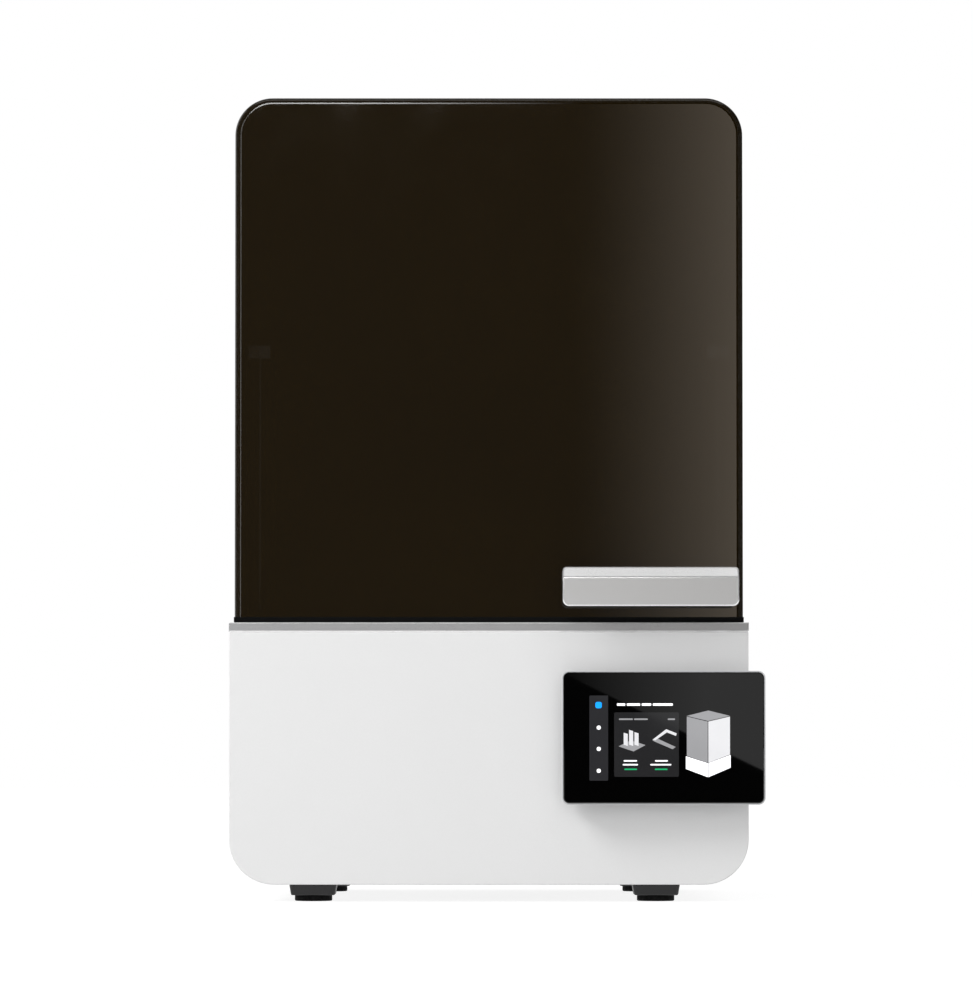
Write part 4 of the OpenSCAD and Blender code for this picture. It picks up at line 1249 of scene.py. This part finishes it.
@dataclass
class LightEngine:
    """The light engine: LEDs on their board, heatsink, fan, box and lens.

    Attributes:
        rows: LEDs from front to rear.
        columns: LEDs from left to right.
        pitch: distance between them.
        chip: side of an LED's square package.
        chip_high: height of the package.
        dome: radius of its clear dome.
    """

    rows: int = 6
    columns: int = 10
    pitch: float = 20.0 * MM
    chip: float = 3.5 * MM
    chip_high: float = 0.9 * MM
    dome: float = 1.3 * MM

    @staticmethod
    def led_tree() -> NodeShape:
        """The tree that puts an LED on each point."""
        shape = NodeShape("led_grid")
        side, high, dome = (shape.named(n) for n in ("Side", "High", "Dome"))
        size = shape.node("ShaderNodeCombineXYZ", {"X": side, "Y": side, "Z": high}).outputs[0]
        block = shape.node("GeometryNodeMeshCube", {"Size": size}).outputs["Mesh"]
        lens = shape.node("GeometryNodeMeshUVSphere", {"Segments": 14, "Rings": 7, "Radius": dome})
        both = shape.node("GeometryNodeJoinGeometry")
        for part in (
            shape.at_height(block, shape.sum("MULTIPLY", high, 0.5)),
            shape.at_height(lens.outputs["Mesh"], shape.sum("MULTIPLY", high, 0.7)),
        ):
            shape.group.links.new(part, both.inputs[0])
        placed = shape.node(
            "GeometryNodeInstanceOnPoints", {"Points": shape.start.outputs[0], "Instance": both.outputs[0]}
        )
        return shape.close(placed.outputs[0])

    def leds(self) -> bpy.types.Object:
        """Builds the grid of LEDs on the board."""
        low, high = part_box("led_board")
        mid = (low + high) / 2
        left = mid.x - (self.columns - 1) / 2 * self.pitch
        near = mid.y - (self.rows - 1) / 2 * self.pitch
        places = [
            Vector((left + i * self.pitch, near + j * self.pitch, high.z))
            for i in range(self.columns)
            for j in range(self.rows)
        ]
        sizes = {"Side": self.chip, "High": self.chip_high, "Dome": self.dome}
        bm = self.led_tree().made("leds", places, sizes, LED_CLEAR)
        piece = finished("led_grid", bm, LED_CLEAR, frame["nodes"]["led_board"]["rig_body"], smooth=35)
        return piece

    def build(self) -> None:
        """Builds and dresses the light engine."""
        report(self.leds())
        for node, edge in (("light_box", 0.5), ("light_fan_frame", 0.5), ("mask_screen", 0.3)):
            report(softened(node, edge * MM))


@dataclass
class RearParts:
    """What shows at the rear and under the base: fan, mains inlet, switch, boards and supply.

    Attributes:
        edge: broken edges of the moulded parts.
    """

    edge: float = 0.4 * MM

    def build(self, screws: NodeShape) -> None:
        """Builds and dresses the parts.

        Args:
            screws: the screw tree.
        """
        for node in ("power_inlet", "power_switch", "rear_fan_frame", "power_supply"):
            report(softened(node, self.edge))
        sizes = (6.0 * MM, 1.6 * MM, 2.9 * MM, 1.0 * MM, 3.0 * MM)
        screwed(screws, Screws("panel_screws", Facing.BACK, *sizes))


@dataclass
class Studio:
    """Camera, floor, lamps and the cards that the gloss shows.

    Attributes:
        distance: from the camera to the front of the base.
        height: of the camera above the floor.
        scale: metres a pixel at the front of the base.
        image_height: pixels up the photograph's frame.
        horizon: pixel row of the camera's height.
        shift: share of the frame taken by the lens shift.
        centre_offset: pixels by which the printer's middle lies right of the frame's.
        daylight: strength of the world for what it lights.
        floor_tone: floor for the light that it throws back.
        floor_seen_tone: floor for the camera.
        floor_glow: light of the floor's own that the camera sees.
    """

    distance: float = 3.1
    height: float = 0.0902
    scale: float = 0.0006352
    image_height: int = 1000
    horizon: float = 760.0
    shift: float = 0.12
    centre_offset: float = 2.3
    daylight: float = 0.63
    floor_tone: float = 0.8
    floor_seen_tone: float = 0.25
    floor_glow: float = 0.87

    def camera(self) -> None:
        """Places the camera straight in front, a little tilted up."""
        data = bpy.data.cameras.new("camera")
        data.sensor_width = 36.0
        pixels = self.distance / self.scale
        data.lens = pixels * data.sensor_width / self.image_height
        data.shift_y = self.shift
        data.shift_x = -self.centre_offset / self.image_height
        data.clip_end = 100.0
        below = self.horizon - self.image_height / 2 - self.shift * self.image_height
        camera = bpy.data.objects.new("camera", data)
        camera.location = (0.0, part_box("front_panel")[0].y - self.distance, self.height)
        camera.rotation_euler = (math.radians(90) + math.atan(below / pixels), 0.0, 0.0)
        bpy.context.scene.collection.objects.link(camera)
        bpy.context.scene.camera = camera

    @staticmethod
    def seen(tree: bpy.types.NodeTree) -> bpy.types.NodeSocket:
        """One for rays from the camera, off gloss and through glass, and zero for others.

        Args:
            tree: the nodes that the test is added to.

        Returns:
            The socket that gives it.
        """
        path = tree.nodes.new("ShaderNodeLightPath")
        total = path.outputs["Is Camera Ray"]
        for name in ("Is Glossy Ray", "Is Transmission Ray"):
            either = tree.nodes.new("ShaderNodeMath")
            either.operation = "MAXIMUM"
            tree.links.new(total, either.inputs[0])
            tree.links.new(path.outputs[name], either.inputs[1])
            total = either.outputs["Value"]
        return total

    def world(self) -> None:
        """White to look at, and a plain light grey for what it lights."""
        world = bpy.data.worlds.new("studio")
        bpy.context.scene.world = world
        world.use_nodes = True
        tree = world.node_tree
        back = tree.nodes["Background"]
        mix = tree.nodes.new("ShaderNodeMix")
        mix.inputs["A"].default_value = self.daylight
        mix.inputs["B"].default_value = 1.0
        tree.links.new(self.seen(tree), mix.inputs["Factor"])
        tree.links.new(mix.outputs["Result"], back.inputs["Strength"])
        back.inputs["Color"].default_value = (1, 1, 1, 1)

    def floor(self) -> None:
        """A pale floor that looks white and keeps the soft shadow."""
        bm = bmesh.new()
        reach = 12.0
        bmesh.ops.create_grid(bm, x_segments=2, y_segments=2, size=reach)
        floor = self.set_piece("floor", bm)
        material = bpy.data.materials.new("studio_floor")
        material.use_nodes = True
        tree = material.node_tree
        shader = tree.nodes["Principled BSDF"]
        pale = tree.nodes.new("ShaderNodeMix")
        pale.data_type = "RGBA"
        pale.inputs[6].default_value = (*[self.floor_tone] * 3, 1)
        pale.inputs[7].default_value = (*[self.floor_seen_tone] * 3, 1)
        tree.links.new(self.seen(tree), pale.inputs[0])
        tree.links.new(pale.outputs[2], shader.inputs["Base Color"])
        shader.inputs["Roughness"].default_value = 0.9
        shader.inputs["Specular IOR Level"].default_value = 0.0
        shader.inputs["Emission Color"].default_value = (1, 1, 1, 1)
        lift = tree.nodes.new("ShaderNodeMath")
        lift.operation = "MULTIPLY"
        lift.inputs[1].default_value = self.floor_glow
        tree.links.new(self.seen(tree), lift.inputs[0])
        tree.links.new(lift.outputs["Value"], shader.inputs["Emission Strength"])
        floor.data.materials.append(material)

    @staticmethod
    def set_piece(name: str, bm: bmesh.types.BMesh) -> bpy.types.Object:
        """Puts a plain mesh into the studio.

        Args:
            name: what it is called.
            bm: its mesh, freed here.

        Returns:
            The object.
        """
        mesh = bpy.data.meshes.new(name)
        bm.to_mesh(mesh)
        bm.free()
        thing = bpy.data.objects.new(name, mesh)
        bpy.context.scene.collection.objects.link(thing)
        return thing

    @staticmethod
    def lamp(name: str, place: Place, aim: Place, size: float, watts: float) -> None:
        """Hangs a soft square lamp.

        Args:
            name: what it is called.
            place: where it hangs, x, y, z.
            aim: the point it shines at.
            size: side of the lamp.
            watts: its power.
        """
        data = bpy.data.lights.new(name, "AREA")
        data.size = size
        data.energy = watts
        lamp = bpy.data.objects.new(name, data)
        lamp.location = place
        lamp.rotation_mode = "QUATERNION"
        lamp.rotation_quaternion = (Vector(aim) - Vector(place)).to_track_quat("-Z", "Y")
        lamp.visible_glossy = False
        bpy.context.scene.collection.objects.link(lamp)

    def card(
        self,
        name: str,
        corners: list[Place],
        glow: Colour = BLACK,
        ramp: Point | None = None,
        bend: float = 1.7,
        low: float = 0.0,
        shades: bool = False,
    ) -> None:
        """Stands a card that only gloss sees, or that only takes light away.

        Args:
            name: what it is called.
            corners: its corners.
            glow: the colour that it shows.
            ramp: x where the glow starts and x where it is full, or None for an even card.
            bend: power to which the ramp is raised.
            low: share of the glow that is left where the ramp starts.
            shades: whether it shades the printer instead of showing in its gloss.
        """
        bm = bmesh.new()
        bm.faces.new([bm.verts.new(c) for c in corners])
        card = self.set_piece(name, bm)
        material = bpy.data.materials.new(name)
        material.use_nodes = True
        tree = material.node_tree
        tree.nodes.clear()
        out = tree.nodes.new("ShaderNodeOutputMaterial")
        light = tree.nodes.new("ShaderNodeEmission")
        light.inputs["Color"].default_value = (*glow, 1)
        tree.links.new(light.outputs["Emission"], out.inputs["Surface"])
        if ramp:
            place = tree.nodes.new("ShaderNodeTexCoord")
            split = tree.nodes.new("ShaderNodeSeparateXYZ")
            tree.links.new(place.outputs["Object"], split.inputs["Vector"])
            span = tree.nodes.new("ShaderNodeMapRange")
            span.inputs["From Min"].default_value = ramp[0]
            span.inputs["From Max"].default_value = ramp[1]
            tree.links.new(split.outputs["X"], span.inputs["Value"])
            power = tree.nodes.new("ShaderNodeMath")
            power.operation = "POWER"
            power.inputs[1].default_value = bend
            tree.links.new(span.outputs["Result"], power.inputs[0])
            lift = tree.nodes.new("ShaderNodeMath")
            lift.operation = "MULTIPLY_ADD"
            lift.inputs[1].default_value = 1.0 - low
            lift.inputs[2].default_value = low
            tree.links.new(power.outputs["Value"], lift.inputs[0])
            tree.links.new(lift.outputs["Value"], light.inputs["Strength"])
        card.data.materials.append(material)
        card.visible_camera = False
        card.visible_diffuse = False
        card.visible_transmission = False
        card.visible_shadow = shades
        card.visible_glossy = not shades

    def build(self) -> None:
        """Sets up the studio."""
        bpy.context.scene.view_settings.view_transform = "Standard"
        self.camera()
        self.world()
        self.floor()
        self.lights()

    def lights(self) -> None:
        """Hangs the lamps, the black flags and the bright cards."""
        self.lamp("key_lamp", (-2.3, -1.8, 2.2), aim=(0, 0, 0.25), size=1.4, watts=62)
        self.lamp("fill_lamp", (0.3, -3.0, 0.9), aim=(0, 0, 0.2), size=1.4, watts=6)
        flags = {
            "front_flag": [(-0.8, -3.5, -0.6), (0.8, -3.5, -0.6), (0.8, -3.5, 1.6), (-0.8, -3.5, 1.6)],
            "top_flag": [(-2.8, -3.5, 1.6), (2.8, -3.5, 1.6), (2.8, -1.0, 3.4), (-2.8, -1.0, 3.4)],
            "left_flag": [(-1.8, 0.15, 0.1), (-0.8, -3.5, 0.1), (-0.8, -3.5, 3.4), (-1.8, 0.15, 3.4)],
            "right_flag": [(0.8, -3.5, 0.1), (1.8, 0.0, 0.1), (1.8, 0.0, 3.4), (0.8, -3.5, 3.4)],
            "right_wing": [(1.8, 0.0, 0.1), (1.8, 2.6, 0.1), (1.8, 2.6, 3.4), (1.8, 0.0, 3.4)],
            "roof_flag": [(-2.8, 0.5, 3.4), (2.8, 0.5, 3.4), (2.8, 2.6, 3.4), (-2.8, 2.6, 3.4)],
        }
        for name, corners in flags.items():
            self.card(name, corners)
        shade = [(-0.07, -0.26, 0.27), (0.08, -0.26, 0.27), (0.08, -0.26, 0.37), (-0.07, -0.26, 0.37)]
        self.card("shade_flag", shade, shades=True)
        self.card(
            "strip_light",
            [(-0.5, -1.9, 0.76), (0.1, -1.9, 0.76), (0.1, -1.9, 1.5), (-0.5, -1.9, 1.5)],
            (12.0, 12.0, 12.0),
            (0.1, -0.12),
        )
        self.card(
            "side_strip",
            [(-0.8, -1.9, -0.1), (-0.44, -1.9, -0.1), (-0.44, -1.9, 0.95), (-0.8, -1.9, 0.95)],
            (2.2, 2.2, 2.2),
        )
        self.card(
            "hood_softbox",
            [(-0.33, -3.2, 0.24), (0.345, -3.2, 0.24), (0.345, -3.2, 1.25), (-0.33, -3.2, 1.25)],
            (1.8, 1.55, 1.27),
            (0.1, 0.32),
            low=0.085,
        )
        self.card(
            "display_wedge",
            [(0.09, -3.2, 0.2), (0.37, -3.2, 0.064), (0.37, -3.2, 0.24), (0.09, -3.2, 0.24)],
            (0.72, 0.72, 0.72),
            (0.09, 0.27),
            bend=1.0,
        )


def report(piece: bpy.types.Object) -> None:
    """Logs a finished piece.

    Args:
        piece: the piece.
    """
    LOG.info("%s: %d faces", piece.name, len(piece.data.polygons))


def main() -> None:
    """Builds the studio and each sub-assembly."""
    logging.basicConfig(level=logging.INFO, format="%(name)s %(message)s")
    Studio().build()
    for node in frame["nodes"]:
        dress(node)
    Base().build()
    Hood().build()
    Display().build()
    screws = Screws.tree()
    Vat().build(screws)
    Platform().build(screws)
    Axis().build(screws)
    LightEngine().build()
    RearParts().build(screws)


if __name__ == "__main__":
    main()
